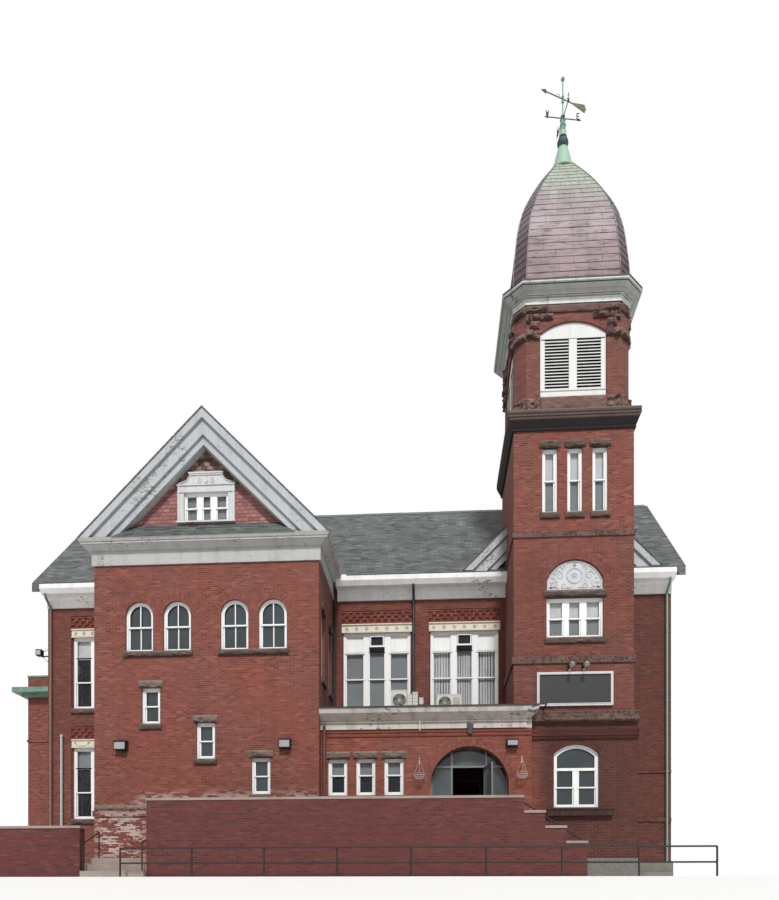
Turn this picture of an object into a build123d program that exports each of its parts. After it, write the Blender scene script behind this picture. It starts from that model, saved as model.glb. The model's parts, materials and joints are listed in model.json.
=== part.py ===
from build123d import *

import math
import os
from functools import cache
from typing import NamedTuple

# A brick town hall: a gabled main block, a gabled pavilion in front on the left, a low entrance
# porch in the middle and a square clock-less bell tower with a copper dome on the right.
# Millimetres. X runs along the front to the right, Y runs back into the building, Z is up.
# Y = 0 is the front face of the pavilion and Z = 0 is the ground.

# Heights shared by the whole building
PLINTH_TOP = 730
GROUND_FLOOR = 1500
UPPER_FLOOR = 5700
ATTIC_FLOOR = 10900
FRIEZE_FOOT = 10620
EAVES_TOP = 11420
FLOOR_THICKNESS = 300
WALL = 400
PLINTH_PROJECTION = 60

# Main block: the lengths that show beside the pavilion and the tower, and its depth
LEFT_BAY = 3510
RIGHT_BAY = 2105
MAIN_FRONT = 3420
MAIN_DEPTH = 8360
EAVES_OVERHANG = 520
VERGE_OVERHANG = 350
ROOF_THICKNESS = 240
ROOF_LIP = 40
ROOF_LIP_REACH = 25

# Recessed bays of the main windows, with their carved heads and brick panels
BAY_RECESS = 60
BAY_EAR = 60
HEAD_HEIGHT = 330
HEAD_REVEAL = 20
BRICK_PANEL = 500

# String courses of brick: foot, top and reach
WATER_TABLE = (2150, 2350, 45)
RIGHT_STRINGS = ((2200, 2340, 45), (4000, 4100, 40))
WING_STRING = (6440, 6540, 40)

# Front pavilion
PAVILION_CENTRE = -7620
PAVILION_WIDTH = 7680
PAVILION_OVERHANG = 400
PAVILION_GABLE_SETBACK = 120
PAVILION_WALL_TOP = 11000

# Cross gable behind the tower
CROSS_HALF_WIDTH = 3600

# Tower
TOWER_CENTRE = 4690
TOWER_SIDE = 3970
TOWER_FRONT = 650
TOWER_WALL = 450
TOWER_SHAFT_TOP = 15040
TOWER_CORNICE_TOP = 15650
TOWER_CORNICE_REACH = 200
TOWER_FOOT_REACH = 130
TOWER_FOOT_TOP = 5290
# The tower's string courses: foot, top and reach
TOWER_BANDS = ((5290, 5620, 150), (7250, 7480, 60), (11480, 11640, 50))
# Mouldings are given as bands: the shares of the height where they start and end, and the shares
# of the reach at their foot and their top.
TOWER_MOULDING = ((0, 0.16, 0.3, 0.3), (0.16, 0.55, 0.35, 0.85), (0.55, 0.66, 0.85, 0.85), (0.66, 1, 1, 1))

# Belfry and dome
BELFRY_SIDE = 3840
BELFRY_CHAMFER = 360
BELFRY_WALL = 450
BELFRY_OPENING_WIDTH = 2190
BELFRY_OPENING_SILL = 16220
BELFRY_SPRINGING = 18360
BELFRY_HEAD_RISE = 390
BELFRY_TOP = 19300
CROWN_TOP = 19880
CROWN_SIDE = 4640
CROWN_CHAMFER = 580
CROWN_CEILING = 120
CROWN_MOULDING = (
    (0, 0.42, 0.08, 0.08),
    (0.42, 0.5, 0.3, 0.3),
    (0.5, 0.74, 0.35, 0.8),
    (0.74, 0.82, 0.86, 0.86),
    (0.82, 1, 1, 1),
)
DOME_SIDE = 3900
DOME_CHAMFER = 395
DOME_SHELL = 120
# Height above the crown and half width of the dome, from its foot to its head.
DOME_PROFILE = ((0, 1950), (700, 1945), (1600, 1868), (2540, 1745), (3420, 1500), (4640, 955), (5760, 335))

# Rock-faced stones of the belfry: courses round it, each with its foot, top and reach
BELFRY_COURSES = ((15650, 16160, 60), (18250, 18440, 35), (19030, 19300, 35))

# Louvres in the belfry
LOUVRE_SILL = 250
LOUVRE_HEAD = 160
LOUVRE_STILE = 150
LOUVRE_POST = 260
LOUVRE_SETBACK = 60
LOUVRE_DEPTH = 120
LOUVRE_BLADES = 16
LOUVRE_SLOPE = -35
LOUVRE_THICKNESS = 14

# Finial and weather vane
FINIAL_CONE_HEIGHT = 850
FINIAL_NECK = 80
FINIAL_BALL = 205
FINIAL_RING_HEIGHT = 200
FINIAL_RING = 130
FINIAL_POST_HEIGHT = 440
FINIAL_POST_SHARE = 0.8
BALL_CHORDS = 6
TURNED_SIDES = 16
BAR_SIDES = 6
MAST_RADIUS = 22
MAST_TOP_BALL = 70
MAST_HEIGHT = 1480
ARM_REACH = 675
ARM_RADIUS = 16
ARM_TURN = 9
ARM_HEIGHT = 60
VANE_HEIGHT = 760
VANE_TIP_REACH = 880
VANE_TAIL_REACH = 960
VANE_TURN = 24
VANE_ROD = 18
VANE_HUB = 45
VANE_HUB_HEIGHT = 180
VANE_CLEARANCE = 3
VANE_SEAT_GAP = 0.3
VANE_SEAT_HEIGHT = 40
VANE_SHEET = 12
VANE_TIP = ((-40, 0), (180, 90), (180, -90))
VANE_TAIL = ((420, 30), (930, 150), (1000, 0), (930, -150), (420, -30))

# Stair hall inside the pavilion, behind its front wall
STAIR_HALL = 2600

# Porch
PORCH_FRONT = 350
PORCH_RIGHT = 3270
PORCH_WALL_TOP = 5050
PORCH_TOP = 5730
PORCH_CORNICE_REACH = 430
PORCH_ROOF_THICKNESS = 250
ARCH_CENTRE = 1215
ARCH_RADIUS = 1295
ARCH_SPRINGING = 3165
ARCH_STEP = 150
ARCH_TREAD = 320
LANDING_REACH = 1100
SCREEN_BAR = 60
SCREEN_DEPTH = 100
DOOR_LEFT = 665
DOOR_RIGHT = 1765
DOOR_HEAD = 3810
DOOR_GAP = 8
DOOR_THICKNESS = 50
DOOR_STILE = 90
DOOR_OPEN_ANGLE = 100
KNUCKLE_RADIUS = 16
KNUCKLE_HEIGHT = 60
KNUCKLE_GAP = 0.3
PIN_RADIUS = 8
PIN_CLEARANCE = 1
HINGE_PLATE = 40
HINGE_LEVELS = (300, 2000)

# Windows
REVEAL = 110
FRAME_DEPTH = 90
FRAME_FACE = 75
MULLION = 110
GLASS = 12
GLASS_INSET = 20
STONE_BED = 210
SILL_HEIGHT = 190
SILL_EAR = 70
SILL_PROJECTION = 70
LINTEL_HEIGHT = 240
LINTEL_EAR = 100
LINTEL_PROJECTION = 40
CUT = 50
TRANSOM_STONE = 260
TYMPANUM_HEIGHT = 1020
TYMPANUM_RISE = 660
TYMPANUM_SETBACK = 90

# Attic window surround: its reach past the opening and its flared head
SURROUND_EAR = 230
SURROUND_APRON = 40
SURROUND_TOP = 280
SURROUND_HEAD = 390
SURROUND_HEAD_HALF = 540
SURROUND_DEPTH = 70

# Cornices
FRIEZE_REACH = 60
CORNICE_STEP = 160
GUTTER_REACH = 110
PAVILION_MOULDING = (
    (0, 0.6, 0.15, 0.15),
    (0.6, 0.78, 0.22, 0.72),
    (0.78, 0.86, 0.82, 0.82),
    (0.86, 1, 0.88, 1),
)
PORCH_MOULDING = ((0, 0.3, 0.12, 0.12), (0.3, 0.4, 0.24, 0.24), (0.4, 0.7, 0.3, 0.78), (0.7, 1, 0.88, 1))
RAKE_CROWN = 260
RAKE_BAND = 620
RAKE_BOARD = 830
RAKE_CROWN_DEPTH = 100
RAKE_BOARD_SETBACK = 90
PENT_RISE = 350

# Terrace, steps and site walls
TERRACE_FRONT = -3800
TERRACE_LEFT = -8100
TERRACE_RIGHT = 2490
TERRACE_FLOOR = 1200
TERRACE_WALL = 320
TERRACE_COPING_TOP = 2260
COPING_THICKNESS = 70
COPING_REACH = 25
STEP_WALL_DROP = 420
STEP_WALL_RUN = 570
STEP_WALL_STEPS = 3
STAIR_RISERS = 7
STAIR_TREAD = 280
GARDEN_FRONT = -4000
GARDEN_LEFT = -17000
GARDEN_RIGHT = -9940
GARDEN_TOP = 1470
GARDEN_WALL = 300
GARDEN_STEP_RISERS = 3
GARDEN_STEP_RISE = 195
GARDEN_STEP_TREAD = 320
GARDEN_LANDING = 1200
RAIL_FRONT = -4600
RAIL_RADIUS = 24
RAIL_POST = 28
RAIL_TOP = 790
RAIL_MIDDLE = 380
RAIL_LEFT = -8500
RAIL_PITCH = 1980
RAIL_BAYS = 8

# Handrails of the terrace stair and the garden steps
HANDRAIL_HEIGHT = 1000
HANDRAIL_RADIUS = 22
HANDRAIL_Y = -3100
HANDRAIL_LEVEL_RUN = 1600
GARDEN_RAIL_HEIGHT = 800

# Fittings on the walls
PIPE_RADIUS = 45
PIPE_STANDOFF = 55
PIPE_CLIP = 40
PIPE_CLIPS = 4
PIPE_INSET = 70
BAY_PIPE = -725
RIGHT_PIPE = 8600
LEFT_PIPE = -14810
SHORT_PIPE = -14380
SHORT_PIPE_TOP = 5710
LAMP_DEPTH = 220
# Each lamp's left and right edge, its foot and top, and the wall that it hangs on
LAMPS = (
    (-10690, -10290, 4380, 4680, 0),
    (-5090, -4720, 4380, 4680, 0),
    (2440, 2800, 4420, 4650, 350),
    (4490, 4640, 7090, 7190, 650),
    (4960, 5110, 7090, 7190, 650),
)
FLOOD_ARM = (400, 40)
FLOOD_LEVEL = 8840
FLOOD_HEAD = 220
SIGN_LEFT = 3470
SIGN_RIGHT = 5980
SIGN_FOOT = 5810
SIGN_TOP = 6940
SIGN_DEPTH = 90
# Each roof unit's left and right edge and its height
ROOF_UNITS = ((-1500, -760, 850), (-740, -540, 980), (140, 990, 850))
ROOF_UNIT_FRONT = 1800
ROOF_UNIT_DEPTH = 340
ROOF_UNIT_FOOT = 100

# Rear wing at the far left
WING_FRONT = 8000
WING_WIDTH = 3480
WING_PARAPET = 570
WING_CORNICE_FOOT = 8460
WING_CORNICE_HEIGHT = 370
WING_CORNICE_REACH = 480

# Values worked out from the ones above
MAIN_REAR = MAIN_FRONT + MAIN_DEPTH
RIDGE_Y = MAIN_FRONT + MAIN_DEPTH / 2
EAVES_FRONT = MAIN_FRONT - EAVES_OVERHANG
EAVES_REAR = MAIN_REAR + EAVES_OVERHANG
RIDGE_TOP = EAVES_TOP + RIDGE_Y - EAVES_FRONT
PAVILION_LEFT = PAVILION_CENTRE - PAVILION_WIDTH / 2
PAVILION_RIGHT = PAVILION_CENTRE + PAVILION_WIDTH / 2
PAVILION_HALF_ROOF = PAVILION_WIDTH / 2 + PAVILION_OVERHANG
TOWER_LEFT = TOWER_CENTRE - TOWER_SIDE / 2
TOWER_RIGHT = TOWER_CENTRE + TOWER_SIDE / 2
TOWER_REAR = TOWER_FRONT + TOWER_SIDE
TOWER_MIDDLE = TOWER_FRONT + TOWER_SIDE / 2
MAIN_LEFT = PAVILION_LEFT - LEFT_BAY
MAIN_RIGHT = TOWER_RIGHT + RIGHT_BAY
WING_LEFT = MAIN_LEFT - WING_WIDTH
WING_TOP = WING_CORNICE_FOOT + WING_CORNICE_HEIGHT + WING_PARAPET
CROSS_FRONT = EAVES_FRONT - GUTTER_REACH
PORCH_ROOF_TOP = PORCH_TOP - PORCH_ROOF_THICKNESS / 2
DOME_TOP = CROWN_TOP + DOME_PROFILE[-1][0]
FINIAL_TOP = DOME_TOP + FINIAL_CONE_HEIGHT + 2 * FINIAL_BALL + FINIAL_RING_HEIGHT + FINIAL_POST_HEIGHT

# The reference point: the middle of the plan at ground level
PLAN_LEFT = WING_LEFT - WING_CORNICE_REACH
PLAN_RIGHT = MAIN_RIGHT + VERGE_OVERHANG
PLAN_FRONT = RAIL_FRONT - RAIL_POST
PLAN_REAR = EAVES_REAR + GUTTER_REACH
ORIGIN = Vector((PLAN_LEFT + PLAN_RIGHT) / 2, (PLAN_FRONT + PLAN_REAR) / 2, 0)


class Window(NamedTuple):
    """A window opening: its centre along the wall, its sill, its size and its division."""

    at: float
    sill: float
    width: float
    height: float
    rise: float = 0
    lights: int = 1


class Dressing(NamedTuple):
    """What a wall's windows need: frames, glass, stones and the holes for them."""

    frames: list
    glass: list
    sills: list
    lintels: list
    holes: list


def span(x0, x1, y0, y1, z0, z1):
    """A block between two corners."""
    return Pos((x0 + x1) / 2, (y0 + y1) / 2, (z0 + z1) / 2) * Box(x1 - x0, y1 - y0, z1 - z0)


def polygon(points):
    return make_face(Polyline(*points, close=True))


def upright(face, near, far):
    """Stands a flat outline up and gives it depth from near to far."""
    return extrude(Plane.XZ.offset(-near) * face, amount=near - far)


def lengthwise(points, x0, x1):
    """A prism along X from its section, given as (y, z) points."""
    return extrude(Plane.YZ.offset(x0) * polygon(points), amount=x1 - x0)


def bar(radius, length):
    """A round bar with few sides, standing on the origin."""
    return extrude(RegularPolygon(radius, BAR_SIDES), amount=length)


def stacked(rings):
    """A solid with flat sides through rings of corners, from its foot to its head."""
    faces = [Face(Wire.make_polygon(ring)) for ring in (rings[0], rings[-1])]
    for low, high in zip(rings, rings[1:]):
        for corner in range(len(low)):
            side = [low[corner - 1], low[corner], high[corner], high[corner - 1]]
            faces.append(Face(Wire.make_polygon(side)))
    return Solid(Shell(faces))


def turned(profile):
    """A turned piece round the Z axis, from its (height, radius) profile."""
    rings = []
    for level, radius in profile:
        turns = [2 * math.pi * side / TURNED_SIDES for side in range(TURNED_SIDES)]
        rings.append([(radius * math.cos(turn), radius * math.sin(turn), level) for turn in turns])
    return stacked(rings)


def levels(bands, foot, top):
    """The (height, share of reach) steps of a moulding's bands."""
    found = []
    for low, high, near, far in bands:
        for share, reach in ((low, near), (high, far)):
            step = (foot + share * (top - foot), reach)
            if step not in found:
                found.append(step)
    return found


def moulded(x0, x1, y0, y1, foot, top, bands, reach):
    """A block whose plan grows on all sides by a moulding's bands."""
    rings = []
    for level, share in levels(bands, foot, top):
        out = share * reach
        left = x0 - out
        right = x1 + out
        near = y0 - out
        far = y1 + out
        rings.append([(left, near, level), (right, near, level), (right, far, level), (left, far, level)])
    return stacked(rings)


def outline(width, height, rise=0):
    """A rectangle that stands on the origin, with an arched head if it has a rise."""
    half = width / 2
    if not rise:
        return Pos(0, height / 2) * Rectangle(width, height)
    foot = Polyline((-half, height - rise), (-half, 0), (half, 0), (half, height - rise))
    head = ThreePointArc((half, height - rise), (0, height), (-half, height - rise))
    return make_face(foot + head)


def window_outline(window, inset=0):
    width = window.width - 2 * inset
    rise = window.rise * width / window.width
    return Pos(window.at, window.sill + inset) * outline(width, window.height - 2 * inset, rise)


def window_frame(window):
    """The frame with its mullions, set back in the wall."""
    clear = window_outline(window, FRAME_FACE)
    pitch = (window.width - 2 * FRAME_FACE) / window.lights
    for post in range(1, window.lights):
        along = window.at + (post - window.lights / 2) * pitch
        clear -= Pos(along, window.sill + window.height / 2) * Rectangle(MULLION, window.height)
    return upright(window_outline(window) - clear, REVEAL, REVEAL + FRAME_DEPTH)


def glass_sheet(window):
    back = REVEAL + FRAME_DEPTH
    return upright(window_outline(window, GLASS_INSET), back, back + GLASS)


def stone_sill(left, right, top):
    return span(left - SILL_EAR, right + SILL_EAR, -SILL_PROJECTION, STONE_BED, top - SILL_HEIGHT, top)


def stone_lintel(left, right, foot):
    ear = LINTEL_EAR
    return span(left - ear, right + ear, -LINTEL_PROJECTION, STONE_BED, foot, foot + LINTEL_HEIGHT)


def dress(windows, place, sills=True, lintels=True):
    """Everything for the windows of one wall. place turns the wall's own frame to the building's."""
    found = Dressing([], [], [], [], [])
    for window in windows:
        left = window.at - window.width / 2
        right = window.at + window.width / 2
        found.frames.append(place * window_frame(window))
        found.glass.append(place * glass_sheet(window))
        found.holes.append(place * upright(window_outline(window), -CUT, TOWER_WALL + CUT))
        if sills:
            found.sills.append(place * stone_sill(left, right, window.sill))
        if lintels and not window.rise:
            found.lintels.append(place * stone_lintel(left, right, window.sill + window.height))
    return found


def pierced(wall, *dressings):
    """A wall with its window holes and stone beds cut out."""
    for dressing in dressings:
        wall = wall - dressing.holes - dressing.sills - dressing.lintels
    return wall


def front_of(y):
    """The frame of a wall that faces the front."""
    return Location((0, y, 0))


def left_of(x, y):
    return Location((x, y, 0), (0, 0, -90))


def right_of(x, y):
    return Location((x, y, 0), (0, 0, 90))


def rear_of(y):
    return Location((0, y, 0), (0, 0, 180))


def chamfered_square(side, chamfer):
    """The corners of the belfry, its crown and its dome: a square with cut corners."""
    half = side / 2
    flat = half - chamfer
    corners = [(half, flat), (flat, half), (-flat, half), (-half, flat)]
    return corners + [(-x, -y) for x, y in corners]


def plate(side, chamfer, foot, top):
    """A level slab with the belfry's plan."""
    plan = polygon(chamfered_square(side, chamfer))
    return Pos(TOWER_CENTRE, TOWER_MIDDLE, foot) * extrude(plan, amount=top - foot)


def main_roof_line(y, drop=0):
    """The height of the main roof's top surface over a place in the plan."""
    run = min(y - EAVES_FRONT, EAVES_REAR - y)
    return EAVES_TOP + run - drop


def tower_box():
    """The whole shaft, for cutting what runs into it."""
    return span(TOWER_LEFT, TOWER_RIGHT, TOWER_FRONT, TOWER_REAR, 0, TOWER_SHAFT_TOP)


def below_main_roof():
    """The space under the main roof's front slope, for cutting the roofs that run into it."""
    far = RIDGE_Y + MAIN_DEPTH
    points = [(EAVES_FRONT, 0), (EAVES_FRONT, EAVES_TOP), (far, EAVES_TOP + far - EAVES_FRONT), (far, 0)]
    return lengthwise(points, PLAN_LEFT, PLAN_RIGHT)


def gable_band(centre, half, outer, inner):
    """The outline of a band along both slopes of a gable, between two depths under the roof's top."""
    high = outer * math.sqrt(2)
    low = inner * math.sqrt(2)
    return polygon([
        (centre - half + high, EAVES_TOP),
        (centre, EAVES_TOP + half - high),
        (centre + half - high, EAVES_TOP),
        (centre + half - low, EAVES_TOP),
        (centre, EAVES_TOP + half - low),
        (centre - half + low, EAVES_TOP),
    ])


def gable_roof(centre, half, front):
    """A roof with its ridge running back from a front gable until it dies into the main roof."""
    near = front + RAKE_CROWN_DEPTH
    slab = upright(gable_band(centre, half, 0, ROOF_THICKNESS), near, EAVES_FRONT + half + ROOF_THICKNESS)
    lip = upright(gable_band(centre, half, 0, ROOF_LIP), front - ROOF_LIP_REACH, near)
    return slab + lip - below_main_roof()


# Windows of each wall
ARCHED = [
    Window(PAVILION_CENTRE + offset, 7720, 950, 1680, 475, 2) for offset in (-2280, -980, 980, 2280)
]
STAIR = [
    Window(PAVILION_CENTRE - 1880 + 1880 * step, 5270 - 1200 * step, 640, 1220) for step in range(3)
]
PAVILION_SIDE = [Window(offset, 6900, 700, 2300) for offset in (-800, 800)]
PAVILION_SIDE_LOW = [Window(offset, 2900, 700, 1900) for offset in (-800, 800)]
ATTIC = [Window(PAVILION_CENTRE, 12080, 1500, 950, 0, 3)]
SILLS = (GROUND_FLOOR + 930, UPPER_FLOOR + 1020)
STRIP_CENTRE = PAVILION_LEFT - LEFT_BAY / 2
STRIP = [Window(STRIP_CENTRE, sill, 1520, 2770, 0, 2) for sill in SILLS]
TRIPLE = [Window(centre, 6550, 2550, 2880, 0, 3) for centre in (-2125, 1180)]
PORCH = [Window(PAVILION_RIGHT + offset, 2850, 650, 1230) for offset in (575, 1525, 2475)]
SEGMENTAL = [Window(TOWER_CENTRE + 95, 2420, 1490, 2120, 320, 2)]
TYMPANUM_TRIPLE = [Window(TOWER_CENTRE + 50, 8110, 1880, 1340, 0, 3)]
TOWER_TALL = [Window(TOWER_CENTRE + offset, 12300, 510, 2170) for offset in (-780, 50, 880)]
TOWER_SIDE_TALL = [Window(-870, 12300, 510, 2170)]
GABLE_PITCH = MAIN_DEPTH * 0.263
GABLE_SIDE = [Window(bay * GABLE_PITCH, sill, 1100, 2500) for bay in (-1, 0, 1) for sill in SILLS]
GABLE_ATTIC = [Window(0, ATTIC_FLOOR + 1400, 1400, 1300, 0, 2)]
REAR_PITCH = (MAIN_RIGHT - MAIN_LEFT) / 7.2
REAR = [
    Window(-(MAIN_LEFT + MAIN_RIGHT) / 2 + REAR_PITCH * bay, sill, 1700, 2500, 0, 2)
    for bay in range(-3, 4)
    for sill in SILLS
]
WING_PITCH = (MAIN_REAR - WING_FRONT) * 0.24
WING_SIDE = [Window(side * WING_PITCH, sill, 900, 1900) for side in (-1, 1) for sill in (2430, 6000)]
LEFT_WALL = [Window(GABLE_PITCH, sill, 1100, 2500) for sill in SILLS]


def paired_sills():
    """The long stone sills that two arched windows share."""
    found = []
    for left, right in ((ARCHED[0], ARCHED[1]), (ARCHED[2], ARCHED[3])):
        found.append(stone_sill(left.at - left.width / 2, right.at + right.width / 2, left.sill))
    return found


def wall_dressings():
    main_middle = MAIN_FRONT + MAIN_DEPTH / 2
    side_middle = MAIN_FRONT / 2
    return {
        "pavilion_front": dress(ARCHED, front_of(0), sills=False),
        "pavilion_stair": dress(STAIR, front_of(0)),
        "pavilion_right": dress(PAVILION_SIDE, right_of(PAVILION_RIGHT, side_middle)),
        "pavilion_left": dress(PAVILION_SIDE + PAVILION_SIDE_LOW, left_of(PAVILION_LEFT, side_middle)),
        "attic": dress(ATTIC, front_of(PAVILION_GABLE_SETBACK), sills=False, lintels=False),
        "strip": dress(STRIP, front_of(MAIN_FRONT), lintels=False),
        "triple": dress(TRIPLE, front_of(MAIN_FRONT), lintels=False),
        "porch": dress(PORCH, front_of(PORCH_FRONT), sills=False),
        "segmental": dress(SEGMENTAL, front_of(TOWER_FRONT)),
        "tympanum": dress(TYMPANUM_TRIPLE, front_of(TOWER_FRONT)),
        "tower_tall": dress(TOWER_TALL, front_of(TOWER_FRONT)),
        "tower_right": dress(TOWER_SIDE_TALL, right_of(TOWER_RIGHT, TOWER_MIDDLE)),
        "right": dress(GABLE_SIDE + GABLE_ATTIC, right_of(MAIN_RIGHT, main_middle)),
        "left": dress(LEFT_WALL + GABLE_ATTIC, left_of(MAIN_LEFT, main_middle)),
        "rear": dress(REAR, rear_of(MAIN_REAR)),
        "wing_left": dress(WING_SIDE, left_of(WING_LEFT, (WING_FRONT + MAIN_REAR) / 2)),
    }


def wall_top(y):
    """The height of the roof's underside over a place in the plan."""
    return main_roof_line(y, ROOF_THICKNESS * math.sqrt(2))


def granite_plinth():
    """The granite base under the walls of the main block, pavilion, porch and tower."""
    reach = PLINTH_PROJECTION
    outer = [
        (MAIN_LEFT, MAIN_FRONT, MAIN_RIGHT, MAIN_REAR),
        (PAVILION_LEFT, 0, PAVILION_RIGHT, MAIN_FRONT),
        (PAVILION_RIGHT, PORCH_FRONT, PORCH_RIGHT, MAIN_FRONT),
        (TOWER_LEFT, TOWER_FRONT, TOWER_RIGHT + TOWER_FOOT_REACH, MAIN_FRONT),
        (WING_LEFT, WING_FRONT, MAIN_LEFT, MAIN_REAR),
    ]
    plinth = Part()
    for x0, y0, x1, y1 in outer:
        plinth += span(x0 - reach, x1 + reach, y0 - reach, y1 + reach, 0, PLINTH_TOP)
    inner = span(MAIN_LEFT + WALL, MAIN_RIGHT - WALL, MAIN_FRONT + WALL, MAIN_REAR - WALL, 0, PLINTH_TOP)
    inner += span(PAVILION_LEFT + WALL, PAVILION_RIGHT - WALL, WALL, MAIN_REAR - WALL, 0, PLINTH_TOP)
    return plinth - inner


def carved_heads():
    """The carved stone heads of the main windows."""
    heads = []
    for window in STRIP + TRIPLE:
        half = window.width / 2 + BAY_EAR
        foot = window.sill + window.height
        near = MAIN_FRONT + HEAD_REVEAL
        far = MAIN_FRONT + STONE_BED
        heads.append(span(window.at - half, window.at + half, near, far, foot, foot + HEAD_HEIGHT))
    return heads


def bay_recesses():
    """The shallow recesses round the main windows, with room for a brick panel over each."""
    recesses = []
    for window in STRIP + TRIPLE:
        half = window.width / 2 + BAY_EAR
        top = window.sill + window.height + HEAD_HEIGHT + BRICK_PANEL
        near = MAIN_FRONT - CUT
        far = MAIN_FRONT + BAY_RECESS
        recesses.append(span(window.at - half, window.at + half, near, far, window.sill, top))
    return recesses


def main_front_walls():
    """The three stretches of the main front wall that show beside the pavilion, porch and tower."""
    dressings = wall_dressing
    top = wall_top(MAIN_FRONT)
    rows = ((MAIN_LEFT, PAVILION_LEFT), (PAVILION_RIGHT, TOWER_LEFT), (TOWER_RIGHT, MAIN_RIGHT))
    walls = []
    for left, right in rows:
        wall = span(left, right, MAIN_FRONT, MAIN_FRONT + WALL, PLINTH_TOP, top)
        wall = pierced(wall, dressings["strip"], dressings["triple"])
        walls.append(wall - hall_doorway() - bay_recesses() - carved_heads())
    return walls


def hall_doorway():
    """The open doorway from the porch into the hall, in line with the entrance."""
    near = MAIN_FRONT - CUT
    far = MAIN_FRONT + WALL + CUT
    return span(DOOR_LEFT, DOOR_RIGHT, near, far, GROUND_FLOOR, DOOR_HEAD)


def gable_wall(x0, x1):
    """An end wall of the main block, up to the underside of the roof."""
    points = [
        (MAIN_FRONT + WALL, PLINTH_TOP),
        (MAIN_REAR - WALL, PLINTH_TOP),
        (MAIN_REAR - WALL, wall_top(MAIN_REAR - WALL)),
        (RIDGE_Y, wall_top(RIDGE_Y)),
        (MAIN_FRONT + WALL, wall_top(MAIN_FRONT + WALL)),
    ]
    return lengthwise(points, x0, x1)


def main_gable_walls():
    left = pierced(gable_wall(MAIN_LEFT, MAIN_LEFT + WALL), wall_dressing["left"])
    right = pierced(gable_wall(MAIN_RIGHT - WALL, MAIN_RIGHT), wall_dressing["right"])
    return [left, right]


def main_rear_wall():
    wall = span(MAIN_LEFT, MAIN_RIGHT, MAIN_REAR - WALL, MAIN_REAR, PLINTH_TOP, wall_top(MAIN_REAR))
    return pierced(wall, wall_dressing["rear"])


def pavilion_front_wall():
    wall = span(PAVILION_LEFT, PAVILION_RIGHT, 0, WALL, PLINTH_TOP, PAVILION_WALL_TOP)
    wall = pierced(wall, wall_dressing["pavilion_front"], wall_dressing["pavilion_stair"])
    return wall - paired_sills()


def pavilion_side_walls():
    foot = PLINTH_TOP
    left = span(PAVILION_LEFT, PAVILION_LEFT + WALL, WALL, MAIN_FRONT, foot, PAVILION_WALL_TOP)
    right = span(PAVILION_RIGHT - WALL, PAVILION_RIGHT, WALL, MAIN_FRONT, foot, PAVILION_WALL_TOP)
    return [pierced(left, wall_dressing["pavilion_left"]), pierced(right, wall_dressing["pavilion_right"])]


def pavilion_gable_wall():
    """The shingled gable above the pavilion's cornice."""
    drop = ROOF_THICKNESS * math.sqrt(2)
    half = PAVILION_HALF_ROOF - (PAVILION_WALL_TOP - EAVES_TOP) - drop
    points = [
        (PAVILION_CENTRE - half, PAVILION_WALL_TOP),
        (PAVILION_CENTRE + half, PAVILION_WALL_TOP),
        (PAVILION_CENTRE, PAVILION_WALL_TOP + half),
    ]
    near = PAVILION_GABLE_SETBACK
    wall = upright(polygon(points), near, near + WALL)
    wall &= span(PAVILION_LEFT, PAVILION_RIGHT, near, near + WALL, PAVILION_WALL_TOP, RIDGE_TOP)
    return pierced(wall, wall_dressing["attic"])


def porch_front_wall():
    """The porch wall with three small windows, left of the arch."""
    edge = ARCH_CENTRE - ARCH_RADIUS
    wall = span(PAVILION_RIGHT, edge, PORCH_FRONT, PORCH_FRONT + WALL, PLINTH_TOP, PORCH_WALL_TOP)
    return pierced(wall, wall_dressing["porch"])


def porch_arch_wall():
    """The brickwork over the entrance arch."""
    left = ARCH_CENTRE - ARCH_RADIUS
    right = ARCH_CENTRE + ARCH_RADIUS
    wall = span(left, right, PORCH_FRONT, PORCH_FRONT + WALL, ARCH_SPRINGING, PORCH_WALL_TOP)
    arch = Pos(ARCH_CENTRE, ARCH_SPRINGING) * Circle(ARCH_RADIUS)
    return wall - upright(arch, PORCH_FRONT - CUT, PORCH_FRONT + WALL + CUT)


def porch_pier():
    """The pier between the arch and the porch's right end, with its short return to the tower."""
    right = ARCH_CENTRE + ARCH_RADIUS
    pier = span(right, PORCH_RIGHT, PORCH_FRONT, PORCH_FRONT + WALL, PLINTH_TOP, PORCH_WALL_TOP)
    return pier - tower_box()


@cache
def porch_roof():
    """The flat roof behind the porch's cornice."""
    top = PORCH_ROOF_TOP
    roof = span(PAVILION_RIGHT, PORCH_RIGHT, PORCH_FRONT, MAIN_FRONT, top - PORCH_ROOF_THICKNESS, top)
    return roof - tower_box()


@cache
def porch_cornice():
    """The white moulded cornice along the porch."""
    reach = PORCH_CORNICE_REACH
    foot = PORCH_WALL_TOP
    right = PORCH_RIGHT - reach / 2
    cornice = moulded(PAVILION_LEFT, right, PORCH_FRONT, MAIN_FRONT, foot, PORCH_TOP, PORCH_MOULDING, reach)
    cornice += span(right, PORCH_RIGHT, PORCH_FRONT, PORCH_FRONT + WALL, foot, PORCH_TOP)
    cornice &= span(PAVILION_RIGHT, PLAN_RIGHT, PLAN_FRONT, PORCH_FRONT + WALL / 2, foot, PORCH_TOP)
    return cornice - porch_roof() - tower_box()


def hinge_levels():
    return [GROUND_FLOOR + level for level in HINGE_LEVELS]


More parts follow.
